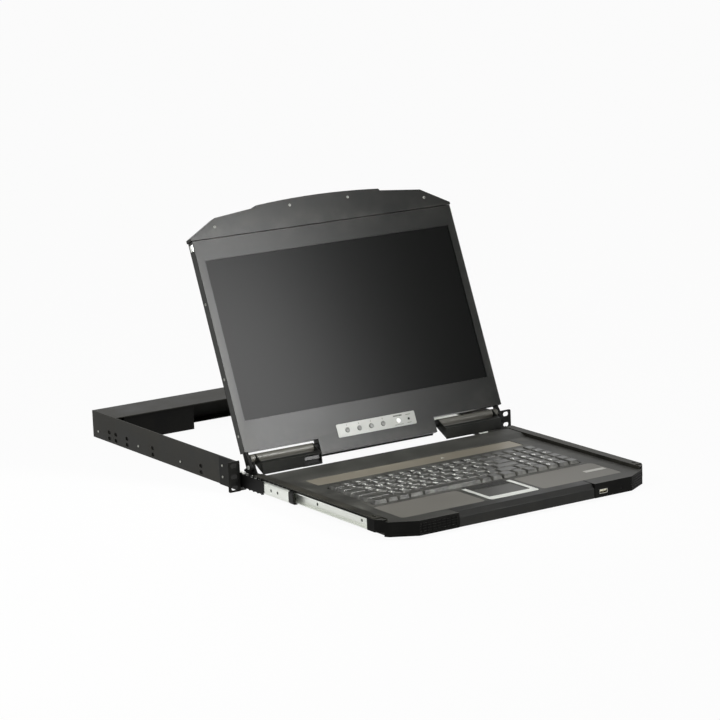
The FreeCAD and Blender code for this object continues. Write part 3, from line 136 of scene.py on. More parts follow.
finishes = {
    # Powder-coated steel: baked on, so it is even, half matt and faintly pebbled.
    "powderCoatedSteel": {"colour": "23231f", "second": "292823", "grain": 1.4, "depth": 0.03,
                          "roughness": (0.46, 0.56), "highlightColour": "4c4a43",
                          "shader": {"Specular IOR Level": 0.15}},
    # A deeper black coat on ears, electronics box, hinge arms, rear cover and fixed slide members; on the
    # fixed slide members it is partly painted shade, darkening the rails' slots and the gap by the ears.
    "deepPowderCoat": {"colour": "0f0f0e", "second": "141412", "grain": 1.4, "depth": 0.03,
                       "roughness": (0.5, 0.6), "highlightColour": "2c2b27", "shader": {"Specular IOR Level": 0.12}},
    # Satin paint on sheet steel: smoother than powder coat, with a broad soft sheen.
    "satinPaintedSteel": {"colour": "11120f", "second": "151613", "grain": 1.1, "depth": 0.012,
                          "roughness": (0.33, 0.36), "highlightColour": "3f3f3a", "shader": {"Specular IOR Level": 0.2}},
    # Bright zinc plate on rolled steel: pale, with streaks along the rolling direction.
    "zincPlatedSteel": {"colour": "dcdfd8", "second": "eef0ea", "mottle": 9, "grain": 0.9, "depth": 0.01,
                        "stretch": (1, 0.08, 1), "roughness": (0.3, 0.44), "shader": {"Metallic": 0.85}},
    # Dull zinc on screw and rivet heads: smaller, handled more, so greyer.
    "dullZinc": {"colour": "9a9b94", "second": "aaaba4", "mottle": 3, "grain": 0.5, "depth": 0.006,
                 "roughness": (0.36, 0.5), "shader": {"Metallic": 0.8}},
    # Nickel-plated shell of a socket: smooth and bright.
    "nickelPlate": {"colour": "d6d4cb", "grain": 0.6, "depth": 0.004, "roughness": (0.18, 0.28),
                    "shader": {"Metallic": 1.0}},
    # ABS moulded against a spark-eroded tool: an even fine texture with little shine.
    "texturedAbs": {"colour": "161615", "second": "1a1a18", "grain": 0.8, "depth": 0.03,
                    "roughness": (0.44, 0.54), "highlightColour": "34342f", "shader": {"Specular IOR Level": 0.2}},
    # The same plastic in grey for the deck, and on the grips for the top, so the edges stand out: partly
    # painted light against their darker sides.
    "deckAbs": {"colour": "383835", "second": "3d3d3a", "grain": 0.8, "depth": 0.02,
                "roughness": (0.42, 0.5), "highlightColour": "6a6a64", "shader": {"Specular IOR Level": 0.1}},
    # Smooth film pads where the palms rest, silkier than the deck round them; their paler colour is partly
    # painted reflection of the bright surroundings.
    "palmFilm": {"colour": "6b6963", "second": "716f69", "mottle": 70, "grain": 0.6, "depth": 0.006,
                 "roughness": (0.42, 0.48), "shader": {"Specular IOR Level": 0.12}},
    # Ribbed grip ends in a softer, duller grade, near black: their sides and ends partly painted shade.
    "gripRubber": {"colour": "080807", "second": "0b0b0a", "grain": 0.7, "depth": 0.03,
                   "roughness": (0.58, 0.68), "highlightColour": "22221f", "shader": {"Specular IOR Level": 0.08}},
    # Keycap ABS: fine matt top, its rims painted lighter as a painted highlight.
    "keycapAbs": {"colour": "3a3a37", "second": "42423e", "mottle": 14, "grain": 0.5, "depth": 0.015,
                  "roughness": (0.3, 0.42), "highlightColour": "8f8f88", "highlightShare": 0.8},
    # Trim that catches the light along its rounded edge: the silver lacquer made lighter and smoother, a
    # painted highlight.
    "litSilverLacquer": {"colour": "d6d8d1", "second": "dcded7", "grain": 0.5, "depth": 0.003,
                      "roughness": (0.34, 0.44), "shader": {"Specular IOR Level": 0.4}},
    # Silver lacquer on plastic: pale, with a soft metallic bloom.
    "silverLacquer": {"colour": "8f918a", "second": "979992", "grain": 0.5, "depth": 0.004,
                      "roughness": (0.3, 0.38)},
    # Brushed aluminium strip: short fine lines that run across the drawer.
    "brushedAluminium": {"colour": "898375", "second": "938d7f", "mottle": 4, "grain": 0.5, "depth": 0.006,
                         "stretch": (0.05, 1, 1), "roughness": (0.36, 0.5),
                         "shader": {"Metallic": 0.3, "Specular IOR Level": 0.2}},
    # Warm grey stove enamel on the torque tubes.
    "greyEnamel": {"colour": "56554e", "second": "5d5b54", "grain": 1.0, "depth": 0.01,
                   "roughness": (0.36, 0.44), "shader": {"Specular IOR Level": 0.4}},
    # Touchpad film: matt polycarbonate over a flat board.
    "touchpadFilm": {"colour": "383834", "second": "3c3c38", "grain": 0.45, "depth": 0.01,
                     "roughness": (0.4, 0.46), "shader": {"Specular IOR Level": 0.3}},
    # Push buttons in mid grey moulded plastic.
    "buttonAbs": {"colour": "6b6c68", "second": "757671", "grain": 0.5, "depth": 0.008,
                  "roughness": (0.25, 0.35)},
    # Milky plastic: lets a lamp through, so it looks whiter than the plate.
    "milkyPlastic": {"colour": "fafaf6", "grain": 0.5, "depth": 0.003, "roughness": (0.3, 0.36)},
    # Smoked lens over a lamp or sensor.
    "smokedLens": {"colour": "0c0c0b", "grain": 0.5, "depth": 0.002, "roughness": (0.12, 0.2),
                   "shader": {"Specular IOR Level": 0.2}},
    # Black nylon of ball retainers and sleeves, and painted shade in the cover's pocket.
    "blackNylon": {"colour": "0b0b0a", "second": "0f0f0e", "grain": 0.6, "depth": 0.01,
                   "roughness": (0.5, 0.6), "shader": {"Specular IOR Level": 0.12}},
    # Nearly white, so the legends read at a glance.
    "paleInk": {"colour": "f6f6f0", "grain": 0.4, "depth": 0.002, "roughness": (0.5, 0.6)},
    # Grey on the pale plate: there, but quiet.
    "greyInk": {"colour": "55554f", "grain": 0.4, "depth": 0.002, "roughness": (0.5, 0.6)},
    # Silver-grey label stock, matt against the film under it.
    "paperLabel": {"colour": "b4b3ac", "grain": 0.5, "depth": 0.004, "roughness": (0.5, 0.6)},
    # Socket tongue moulded in cream nylon, with gold-flashed contacts.
    "creamNylon": {"colour": "f0ecd4", "grain": 0.5, "depth": 0.004, "roughness": (0.36, 0.44)},
    "goldFlash": {"colour": "d6b268", "grain": 0.5, "depth": 0.002, "roughness": (0.22, 0.3),
                  "shader": {"Metallic": 1.0}},
    # Circuit board under green solder mask.
    "solderMask": {"colour": "1f4a33", "second": "265a3e", "mottle": 3, "grain": 0.6, "depth": 0.01,
                   "roughness": (0.3, 0.4)},
    # Anti-glare polariser over the panel: nearly black, its haze spreads any reflection.
    "antiGlareFilm": {"colour": "060706", "second": "070807", "mottle": 90, "grain": 0.4, "depth": 0.003,
                      "roughness": (0.3, 0.302), "shader": {"Specular IOR Level": 0.065}},
    # Black masking round the panel's glass, a little shinier than the film.
    "blackMatrix": {"colour": "080808", "grain": 0.4, "depth": 0.003, "roughness": (0.3, 0.36),
                    "shader": {"Specular IOR Level": 0.2}},
}
materials = {name: makeFinish(name, look) for name, look in finishes.items()}
print("materials made:", len(materials))


# ---- making pieces

# Faces that look straight up take the top finish, where there is one: a top painted lighter, as if lit.
def finishPiece(name, shell, finish, body, replaced=(), litTopFinish=None):
    mesh = bpy.data.meshes.new(name)
    shell.to_mesh(mesh)
    shell.free()
    mesh.polygons.foreach_set("use_smooth", [True] * len(mesh.polygons))
    mesh.set_sharp_from_angle(angle=math.radians(32))
    mesh.materials.append(materials[finish])
    if litTopFinish:
        mesh.materials.append(materials[litTopFinish])
        mesh.polygons.foreach_set("material_index", [int(f.normal.z > 0.98) for f in mesh.polygons])
    piece = bpy.data.objects.new(name, mesh)
    collection.objects.link(piece)
    flats = piece.modifiers.new("flatFacesStayFlat", "WEIGHTED_NORMAL")
    flats.keep_sharp = True
    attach(piece, body)
    if replaced:
        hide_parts(*replaced)


# The node's own shape with its sharp edges eased, as pressing, moulding or deburring leaves them.
def easeNode(nodeName, finish, width, litTopFinish=None):
    source = nodes[nodeName]
    shell = bmesh.new()
    shell.from_mesh(source.data)
    bmesh.ops.remove_doubles(shell, verts=shell.verts, dist=0.003 * mm)
    bmesh.ops.dissolve_limit(shell, angle_limit=math.radians(0.5), verts=shell.verts, edges=shell.edges)
    hard = [e for e in shell.edges
            if len(e.link_faces) == 2 and e.calc_face_angle(0) > math.radians(28)]
    easeEdges(shell, hard, width)
    finishPiece(nodeName + "_eased", shell, finish, source["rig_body"], [nodeName], litTopFinish)


def boxAt(shell, low, high):  # a block between two corners, in millimetres
    low, high = Vector(low) * mm, Vector(high) * mm
    place = Matrix.Translation((low + high) / 2) @ Matrix.Diagonal((*(high - low), 1))
    return bmesh.ops.create_cube(shell, size=1, matrix=place)["verts"]


def edgesOf(verts):
    chosen = set(verts)
    return [e for e in {edge for v in verts for edge in v.link_edges} if set(e.verts) <= chosen]


def easeEdges(shell, edges, width, segments=2):
    return bmesh.ops.bevel(shell, geom=edges, offset=width * mm, offset_type="OFFSET", segments=segments,
                           profile=0.5, affect="EDGES", clamp_overlap=True, material=-1)


def turned(shell, profile, place, steps=24):  # a profile of (radius, height) spun round the place's own Z
    verts = [shell.verts.new((radius * mm, 0, height * mm)) for radius, height in profile]
    edges = [shell.edges.new(pair) for pair in zip(verts, verts[1:])]
    bmesh.ops.spin(shell, geom=verts + edges, cent=(0, 0, 0), axis=(0, 0, 1), dvec=(0, 0, 0),
                   angle=math.tau, steps=steps, use_merge=True, use_duplicate=False)
    every = set(verts)
    grown = list(every)
    while grown:
        vert = grown.pop()
        for edge in vert.link_edges:
            other = edge.other_vert(vert)
            if other not in every:
                every.add(other)
                grown.append(other)
    bmesh.ops.remove_doubles(shell, verts=list(every), dist=0.001 * mm)
    every = [v for v in every if v.is_valid]
    bmesh.ops.transform(shell, matrix=place, verts=every)
    return every


# ---- pieces that keep the CAD shape, with their edges eased

easedPieces = {
    "powderCoatedSteel": {"rail_left": 0.3, "rail_right": 0.3, "rear_channel": 0.4, "drawer_tray": 0.3},
    "deepPowderCoat": {"ear_left": 0.4, "ear_right": 0.4, "electronics_box": 0.4, "hinge_arm_left": 0.5,
                       "hinge_arm_right": 0.5, "hinge_bracket_left": 0.3, "hinge_bracket_right": 0.3,
                       # The fixed slide members take the deeper black partly as painted shade.
                       "lcd_back": 0.3, "slide_outer_left": 0.25, "slide_outer_right": 0.25},
    "satinPaintedSteel": {"lcd_bezel": 0.4, "lcd_header": 0.4, "hinge_cover_left": 0.4,
                          "hinge_cover_right": 0.4},
    "zincPlatedSteel": {"slide_middle_left": 0.25, "slide_middle_right": 0.25, "slide_inner_left": 0.25,
                        "slide_inner_right": 0.25, "latch_hooks": 0.2, "hinge_pins": 0.3},
    "nickelPlate": {"power_jack": 0.2},
    "texturedAbs": {"front_bar": 0.8, "keyboard_base": 0.2, "slide_stop_left": 0.4, "slide_stop_right": 0.4,
                    "pad_button_left": 0.3, "pad_button_right": 0.3},
    "gripRubber": {"grip_left": 0.3, "grip_right": 0.3},
    "deckAbs": {"deck": 0.3},
    "touchpadFilm": {"touchpad": 0.2},
    "silverLacquer": {"control_plate": 0.2},
    "litSilverLacquer": {"pad_frame": 0.5},
    "brushedAluminium": {"accent_strip": 0.15},
    "greyEnamel": {"hinge_barrel_left": 0.6, "hinge_barrel_right": 0.6},
}
for finish, widths in easedPieces.items():
    for nodeName, width in widths.items():
        easeNode(nodeName, finish, width, "deckAbs" if nodeName.startswith("grip_") else None)
# These keep their own shape and take only a finish.
for nodeName, finish in {"ball_cage_left": "blackNylon", "ball_cage_right": "blackNylon",
                         "lcd_panel": "blackMatrix", "lcd_board": "solderMask"}.items():
    nodes[nodeName].material_slots[0].material = materials[finish]
print("sheet and moulded pieces made")


# ---- keyboard

keyboard = {"left": -171.0, "rear": -149.0, "unit": 18.0, "row": 19.3, "gap": 0.8, "taper": 1.9,
            "depthTaper": 1.5, "lean": 0.25, "foot": -0.7, "top": 6.0, "corner": 1.3, "rim": 0.6,
            "rimWidth": 0.9, "dish": 0.35, "stem": 4.0, "stemFoot": -6.1, "stemSink": 2.0,
            "legend": 7.2, "wordLegend": 4.32, "bold": 0.34, "ink": 0.04, "legendIn": 3.4,
            "legendDown": 12.2}
keyRows = {
    "function_keys": ([1] * 19, ["", *["F%d" % n for n in range(1, 13)], "", "", "", "", "", ""]),
    "number_keys": ([1] * 13 + [2] + [1] * 4, [*"`1234567890-=", "", "", "/", "*", "-"]),
    "upper_letter_keys": ([1.5] + [1] * 12 + [1.5] + [1] * 4, ["", *"QWERTYUIOP[]", "", *"789+"]),
    "home_letter_keys": ([1.75] + [1] * 11 + [2.25] + [1] * 4, ["", *"ASDFGHJKL;'", "", *"456", ""]),
    "lower_letter_keys": ([2.25] + [1] * 10 + [1.75] + [1] * 5, ["", *"ZXCVBNM,./", "", "", *"123", ""]),
    "control_keys": ([1.25, 1, 1, 1.25, None, 1, 1, 1.25] + [1] * 6, [""] * 11 + ["0", ".", ""]),
}
spaceUnits = 5.25  # the key with no unit of its own is the space bar


def highestBeside(faces):  # the highest face that shares an edge with any of these
    beside = {f for g in faces for e in g.edges for f in e.link_faces}
    return max(beside, key=lambda f: f.calc_center_median().z)


def addKeycap(shell, lowX, highX, rearY):
    k = keyboard
    gap, taper = k["gap"] / 2, k["taper"]
    low = (lowX + gap, rearY - k["row"] + gap, k["foot"])
    high = (highX - gap, rearY - gap, k["top"])
    verts = boxAt(shell, low, high)
    middle = Vector(((low[0] + high[0]) / 2, (low[1] + high[1]) / 2, 0)) * mm
    crown = [v for v in verts if v.co.z > 0]
    wide, deep = high[0] - low[0], high[1] - low[1]
    narrower, shallower = (wide - 2 * taper) / wide, (deep - k["depthTaper"] * taper) / deep
    bmesh.ops.scale(shell, verts=crown, vec=(narrower, shallower, 1), space=Matrix.Translation(-middle))
    bmesh.ops.translate(shell, verts=crown, vec=(0, taper * k["lean"] * mm, 0))
    upright = [e for e in edgesOf(verts) if abs(e.verts[0].co.z - e.verts[1].co.z) > mm]
    corners = easeEdges(shell, upright, k["corner"])
    topFace = highestBeside(corners["faces"])
    rounded = easeEdges(shell, list(topFace.edges), k["rim"])
    topFace = highestBeside(rounded["faces"])
    bmesh.ops.inset_region(shell, faces=[topFace], thickness=k["rimWidth"] * mm, depth=0)
    bmesh.ops.translate(shell, verts=list(topFace.verts), vec=(0, 0, -k["dish"] * mm))
    centreY = (low[1] + high[1]) / 2
    for share in (0.5,) if highX - lowX < 2 * k["unit"] else (0.25, 0.75):
        centreX = low[0] + share * wide
        half = k["stem"] / 2
        boxAt(shell, (centreX - half, centreY - half, k["stemFoot"]),
              (centreX + half, centreY + half, k["top"] - k["stemSink"]))


def addWords(shell, words, place, height, bold=0.0):  # flat lettering, made a mesh before it is placed
    curve = bpy.data.curves.new("words", "FONT")
    curve.body, curve.size, curve.resolution_u, curve.offset = words, height * mm * 1.4, 2, bold * mm
    text = bpy.data.objects.new("words", curve)
    collection.objects.link(text)
    bpy.context.view_layer.update()
    mesh = bpy.data.meshes.new_from_object(text)
    before = set(shell.verts)
    shell.from_mesh(mesh)
    bmesh.ops.transform(shell, matrix=place, verts=[v for v in shell.verts if v not in before])
    bpy.data.objects.remove(text)
    bpy.data.curves.remove(curve)
    bpy.data.meshes.remove(mesh)


for row, (nodeName, (units, legends)) in enumerate(keyRows.items()):
    shell, marks = bmesh.new(), bmesh.new()
    rearY, start = keyboard["rear"] - row * keyboard["row"], keyboard["left"]
    for unit, words in zip(units, legends):
        wide = (unit or spaceUnits) * keyboard["unit"]
        target = shell if unit else bmesh.new()
        addKeycap(target, start, start + wide, rearY)
        if unit is None:
            finishPiece("spaceBarCap", target, "keycapAbs", "key_space", ["space_bar"])
        if words:
            inkLevel = keyboard["top"] - keyboard["dish"] + keyboard["ink"]
            printed = Vector((start + keyboard["legendIn"], rearY - keyboard["legendDown"], inkLevel)) * mm
            height = keyboard["wordLegend" if len(words) > 1 else "legend"]
            addWords(marks, words, Matrix.Translation(printed), height, keyboard["bold"])
        start += wide
    body = nodes[nodeName]["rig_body"]
    finishPiece(nodeName + "_caps", shell, "keycapAbs", body, [nodeName])
    finishPiece(nodeName + "_legends", marks, "paleInk", body)
print("keys made")


# ---- display frame: flat (across, up, out of the screen) and tilted at the hinge

display = {"tilt": 22.5, "below": 21.1, "behind": 5.6}
hinge = next(j for j in frame["joints"] if j["name"] == "display_hinge")
tilt = math.radians(display["tilt"])
upward = Vector((0, math.sin(tilt), math.cos(tilt)))
outward = Vector((0, -math.cos(tilt), math.sin(tilt)))
corner = Vector(hinge["pos_m"]) + upward * display["below"] * mm + outward * display["behind"] * mm
corner.x = 0
onDisplay = Matrix.Translation(corner) @ Matrix((Vector((1, 0, 0)), upward, outward)).transposed().to_4x4()


def onDisplayAt(across, up, out=0.0):
    return onDisplay @ Matrix.Translation(Vector((across, up, out)) * mm)


# ---- screws, rivets and painted shade behind the rails' rear slots

screws = {"width": 3.9, "proud": 0.6, "socket": 1.0, "sink": 0.5, "paint": 0.02,
          "face": [(178.0, 322.2), (49.3, 338.7)], "side": [24.1, 106.5, 215.6],
          "sideAcross": 218.6, "sideOut": -7.0}


def addScrew(shell, place, socketShade):  # pan head with a socket, and a dark disc on the socket's floor as painted shade
    radius, proud, socket = screws["width"] / 2, screws["proud"], screws["socket"]
    floor = proud - screws["sink"]
    turned(shell, [(socket, floor), (socket, proud), (radius * 0.62, proud),
                   (radius * 0.86, proud * 0.8), (radius, proud * 0.35), (radius, 0)], place, steps=16)
    turned(socketShade, [(0, floor + screws["paint"]), (socket, floor + screws["paint"])], place, steps=8)


shell, socketShade = bmesh.new(), bmesh.new()
for side in (-1, 1):
    for across, up in screws["face"]:
        addScrew(shell, onDisplayAt(side * across, up), socketShade)
    for up in screws["side"]:
        place = onDisplayAt(side * screws["sideAcross"], up, screws["sideOut"])
        addScrew(shell, place @ Matrix.Rotation(side * math.pi / 2, 4, "Y"), socketShade)
finishPiece("displayScrews", shell, "dullZinc", "display", ["lcd_screws"])
finishPiece("displayScrewSocketShade", socketShade, "blackNylon", "display")

# Dark sheets behind the rails' rearmost slots: painted shade, so the slots read black.
slotShadeSheets = {"near": 220.9, "far": 221.45, "front": 364.6, "rear": 396.0, "low": -19.5, "high": -2.5}
shell = bmesh.new()
for side in (-1, 1):
    low, high = sorted((side * slotShadeSheets["near"], side * slotShadeSheets["far"]))
    boxAt(shell, (low, slotShadeSheets["front"], slotShadeSheets["low"]),
          (high, slotShadeSheets["rear"], slotShadeSheets["high"]))
finishPiece("slotShadeSheets", shell, "deepPowderCoat", "chassis")

# Blind rivets: a domed ring round the hollow that the mandrel leaves.
rivets = {"profile": [(0, 0.5), (0.7, 0.5), (0.9, 0.95), (1.4, 0.9), (1.7, 0.6), (1.8, 0)],
          "flange": 225.0, "web": 223.0, "flangeSpots": [(43.0, 6.7), (43.0, -9.7)],
          "webSpots": [(167.5, -11.0), (293.3, -11.0), (419.0, -11.0)]}
shell = bmesh.new()
for side in (-1, 1):
    for face, spots in ((rivets["flange"], rivets["flangeSpots"]), (rivets["web"], rivets["webSpots"])):
        for y, z in spots:
            spot = Matrix.Translation(Vector((side * face, y, z)) * mm)
            turned(shell, rivets["profile"], spot @ Matrix.Rotation(side * math.pi / 2, 4, "Y"), steps=20)
finishPiece("rivetHeads", shell, "dullZinc", "chassis", ["chassis_rivets"])


# ---- display: buttons, plate, screen and hinge fittings

# Button caps with a collar behind the plate and a shallow dish for the fingertip.
buttons = {"radius": 3.5, "collar": 4.7, "back": -2.3, "front": 1.2, "up": 4.3,
           "spots": {"menu_button_1": -48.0, "menu_button_2": -27.9, "menu_button_3": -7.8,
                     "menu_button_4": 12.3, "power_button": 38.8}}
for nodeName, across in buttons["spots"].items():
    shell = bmesh.new()
    r, back, front = buttons["radius"], buttons["back"], buttons["front"]
    profile = [(0, back), (buttons["collar"], back), (buttons["collar"], back + 0.5), (r, back + 0.5),
               (r, front - 0.6), (r - 0.2, front - 0.2), (r - 0.7, front), (r - 1.3, front - 0.25),
               (0, front - 0.45)]
    turned(shell, profile, onDisplayAt(across, buttons["up"]), steps=32)
    finish = "milkyPlastic" if nodeName == "power_button" else "buttonAbs"
    finishPiece(nodeName + "_cap", shell, finish, nodes[nodeName]["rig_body"], [nodeName])

# Plain numbers over the menu buttons, and bars over and under the power button and the lens.
# A bar is given as left, low, right, high.
plateMarks = {"face": 0.62, "number": 2.6, "numberBack": 0.9, "numberUp": 10.2, "bold": 0.08,
              "bars": [(31.0, 10.4, 46.0, 12.6), (52.0, 10.3, 60.2, 11.3), (52.6, -1.4, 59.6, -0.5),
                       (31.5, -2.0, 46.0, -1.2)],
              "lens": (56.1, 4.5, 1.9), "lensFoot": 0.6, "lamp": (43.0, 11.5)}
marks, lens = bmesh.new(), bmesh.new()
for count, nodeName in enumerate(list(buttons["spots"])[:4], start=1):
    across = buttons["spots"][nodeName] - plateMarks["numberBack"]
    place = onDisplayAt(across, plateMarks["numberUp"], plateMarks["face"])
    addWords(marks, str(count), place, plateMarks["number"], plateMarks["bold"])
for left, low, right, high in plateMarks["bars"]:
    bar = bmesh.ops.create_grid(marks, x_segments=1, y_segments=1, size=0.5)["verts"]
    bmesh.ops.scale(marks, verts=bar, vec=((right - left) * mm, (high - low) * mm, 1))
    centre = onDisplayAt((left + right) / 2, (low + high) / 2, plateMarks["face"])
    bmesh.ops.transform(marks, matrix=centre, verts=bar)
finishPiece("plateMarks", marks, "greyInk", "display")
across, up, radius = plateMarks["lens"]
turned(lens, [(0, 0.5), (radius * 0.6, 0.42), (radius, 0.1), (radius, 0)],
       onDisplayAt(across, up, plateMarks["lensFoot"]), steps=24)
turned(lens, [(0, 0.25), (0.5, 0.2), (0.8, 0)], onDisplayAt(*plateMarks["lamp"], plateMarks["face"]),
       steps=12)
finishPiece("plateLens", lens, "smokedLens", "display")

screen = {"left": -206.2, "low": 43.7, "right": 206.2, "high": 275.7, "back": -1.58, "front": -1.3}
shell = bmesh.new()
film = boxAt(shell, (screen["left"], screen["low"], screen["back"]),
             (screen["right"], screen["high"], screen["front"]))
bmesh.ops.transform(shell, matrix=onDisplay, verts=film)
finishPiece("screenFilm", shell, "antiGlareFilm", "display")

# Sleeves close the gaps between torque tube, display and arm. Each is its start, its end and its radius.
hingeEnds = {"up": -9.7, "out": -7.0, "outer": (202.9, 210.4, 6.1), "inner": (98.6, 105.7, 5.2),
             "bore": 3.6, "edge": 0.4}
for name, finish in (("outer", "greyEnamel"), ("inner", "blackNylon")):
    shell = bmesh.new()
    start, end, radius = hingeEnds[name]
    bore, edge, long = hingeEnds["bore"], hingeEnds["edge"], end - start
    for side in (-1, 1):
        place = onDisplayAt(side * start, hingeEnds["up"], hingeEnds["out"])
        turned(shell, [(bore, 0), (radius - edge, 0), (radius, edge), (radius, long - edge),
                       (radius - edge, long), (bore, long)],
               place @ Matrix.Rotation(side * math.pi / 2, 4, "Y"), steps=32)
    bmesh.ops.recalc_face_normals(shell, faces=shell.faces)
    finishPiece(name + "HingeSleeves", shell, finish, "display")

# Painted shade: a dark floor and three walls blacken the pocket in the left cover.
pocket = {"near": 107.6, "far": 134.2, "low": -34.1, "high": -22.7, "floor": 5.42, "rim": 8.3, "wall": 0.3}
shell = bmesh.new()
near, far, low, high, wall = (pocket[key] for key in ("near", "far", "low", "high", "wall"))
pocketShade = boxAt(shell, (-far, low, pocket["floor"]), (-near, high, pocket["floor"] + wall))
pocketShade += boxAt(shell, (-far, low, pocket["floor"]), (-far + wall, high, pocket["rim"]))
pocketShade += boxAt(shell, (-near - wall, low, pocket["floor"]), (-near, high, pocket["rim"]))
pocketShade += boxAt(shell, (-far, high - wall, pocket["floor"]), (-near, high, pocket["rim"]))
bmesh.ops.transform(shell, matrix=onDisplay, verts=pocketShade)
finishPiece("coverPocketShade", shell, "blackNylon", "display")
print("display fittings made")


# ---- drawer: pads, label, sockets and the ball strips

palms = {"inside": 47.2, "outside": 180.8, "front": -346.8, "rear": -275.2, "foot": 1.4, "top": 1.72,
         "corner": 6.0, "edge": 0.15}
shell = bmesh.new()
for side in (-1, 1):
    low, high = sorted((side * palms["inside"], side * palms["outside"]))
    pad = boxAt(shell, (low, palms["front"], palms["foot"]), (high, palms["rear"], palms["top"]))
    upright = [e for e in edgesOf(pad) if abs(e.verts[0].co.z - e.verts[1].co.z) > 0.1 * mm]
    easeEdges(shell, upright, palms["corner"], 6)
rims = [e for e in shell.edges if len(e.link_faces) == 2 and e.calc_face_angle(0) > 1
        and min(v.co.z for v in e.verts) > (palms["top"] - 0.01) * mm]
easeEdges(shell, rims, palms["edge"], 1)
finishPiece("palmPads", shell, "palmFilm", "drawer")

label = {"left": 142.5, "right": 177.0, "front": -315.6, "rear": -306.6, "foot": 1.72, "top": 1.79}
shell = bmesh.new()
boxAt(shell, (label["left"], label["front"], label["foot"]), (label["right"], label["rear"], label["top"]))
finishPiece("blankLabel", shell, "paperLabel", "drawer")

# A plain triangle printed on the strip.
stripMark = {"x": 43.0, "y": -112.0, "z": 1.42, "radius": 3.4}
shell = bmesh.new()
spot = Vector((stripMark["x"], stripMark["y"], stripMark["z"])) * mm
bmesh.ops.create_circle(shell, cap_ends=True, segments=3, radius=stripMark["radius"] * mm,
                        matrix=Matrix.Translation(spot))
finishPiece("stripMark", shell, "paleInk", "drawer")

# USB socket: a drawn shell open to the front, a tongue inside it and contacts under the tongue.
usb = {"x": 125.6, "z": -9.4, "face": -376.0, "wide": 13.1, "tall": 5.7, "deep": 14.0, "wall": 0.45,
       "corner": 0.5, "tongueWide": 10.8, "tongueLow": 0.1, "tongueHigh": 2.0, "tongueStart": 0.9,
       "contacts": 4, "contactStep": 2.3, "contactWide": 1.0}
shell = bmesh.new()
half, rise = usb["wide"] / 2, usb["tall"] / 2
centre = Vector((usb["x"], usb["face"], usb["z"])) * mm
block = boxAt(shell, (-half, 0, -rise), (half, usb["deep"], rise))
easeEdges(shell, [e for e in edgesOf(block) if abs(e.verts[0].co.y - e.verts[1].co.y) > mm], usb["corner"], 3)
mouth = [f for f in shell.faces if f.normal.y < -0.9 or f.calc_center_median().y < 0.01 * mm]
bmesh.ops.inset_region(shell, faces=mouth, thickness=usb["wall"] * mm, depth=0)
bmesh.ops.translate(shell, verts=[v for v in bmesh.ops.extrude_face_region(shell, geom=mouth)["geom"]
                                  if isinstance(v, bmesh.types.BMVert)], vec=(0, (usb["deep"] - 1) * mm, 0))
bmesh.ops.delete(shell, geom=[f for f in mouth if f.is_valid], context="FACES_ONLY")
bmesh.ops.translate(shell, verts=shell.verts, vec=centre)
bmesh.ops.recalc_face_normals(shell, faces=shell.faces)
finishPiece("usbShell", shell, "nickelPlate", "drawer", ["usb_socket"])
tongue, contacts = bmesh.new(), bmesh.new()
half = usb["tongueWide"] / 2
block = boxAt(tongue, (-half, usb["tongueStart"], usb["tongueLow"]),
              (half, usb["deep"] - 1, usb["tongueHigh"]))
easeEdges(tongue, edgesOf(block), 0.2, 1)
half = usb["contactWide"] / 2
for index in range(usb["contacts"]):
    x = (index - (usb["contacts"] - 1) / 2) * usb["contactStep"]
    boxAt(contacts, (x - half, usb["tongueStart"] + 0.6, usb["tongueLow"] - 0.12),
          (x + half, usb["deep"] - 2, usb["tongueLow"] + 0.1))
for shell in (tongue, contacts):
    bmesh.ops.translate(shell, verts=shell.verts, vec=centre)
finishPiece("usbTongue", tongue, "creamNylon", "drawer")
finishPiece("usbContacts", contacts, "goldFlash", "drawer")

lampLens = {"x": 156.2, "z": -10.8, "face": -376.0, "radius": 1.42, "back": -2.2}
shell = bmesh.new()
r = lampLens["radius"]
place = Matrix.Translation(Vector((lampLens["x"], lampLens["face"], lampLens["z"])) * mm)
turned(shell, [(0, -0.3), (r * 0.6, -0.42), (r, -0.8), (r, lampLens["back"]), (0, lampLens["back"])],
       place @ Matrix.Rotation(math.pi / 2, 4, "X"))
finishPiece("lampLens", shell, "smokedLens", "drawer")

# Retainer strips along the top of the middle slide members, with their balls.
ballStrips = {"near": 211.4, "far": 216.8, "foot": 1.92, "top": 2.9, "front": -121.0, "rear": -8.0,
              "edge": 0.25, "step": 11.6, "ball": 1.5, "across": 215.1, "height": 2.0}
for side, name in ((-1, "left"), (1, "right")):
    strip, balls = bmesh.new(), bmesh.new()
    low, high = sorted((side * ballStrips["near"], side * ballStrips["far"]))
    block = boxAt(strip, (low, ballStrips["front"], ballStrips["foot"]),
                  (high, ballStrips["rear"], ballStrips["top"]))
    easeEdges(strip, edgesOf(block), ballStrips["edge"], 1)
    y = ballStrips["front"] + ballStrips["step"] / 2
    while y < ballStrips["rear"]:
        spot = Vector((side * ballStrips["across"], y, ballStrips["height"])) * mm
        bmesh.ops.create_uvsphere(balls, u_segments=12, v_segments=8, radius=ballStrips["ball"] * mm,
                                  matrix=Matrix.Translation(spot))
        y += ballStrips["step"]
    finishPiece("ballStrip_" + name, strip, "blackNylon", "middle_" + name)
    finishPiece("stripBalls_" + name, balls, "zincPlatedSteel", "middle_" + name)
print("drawer fittings made")

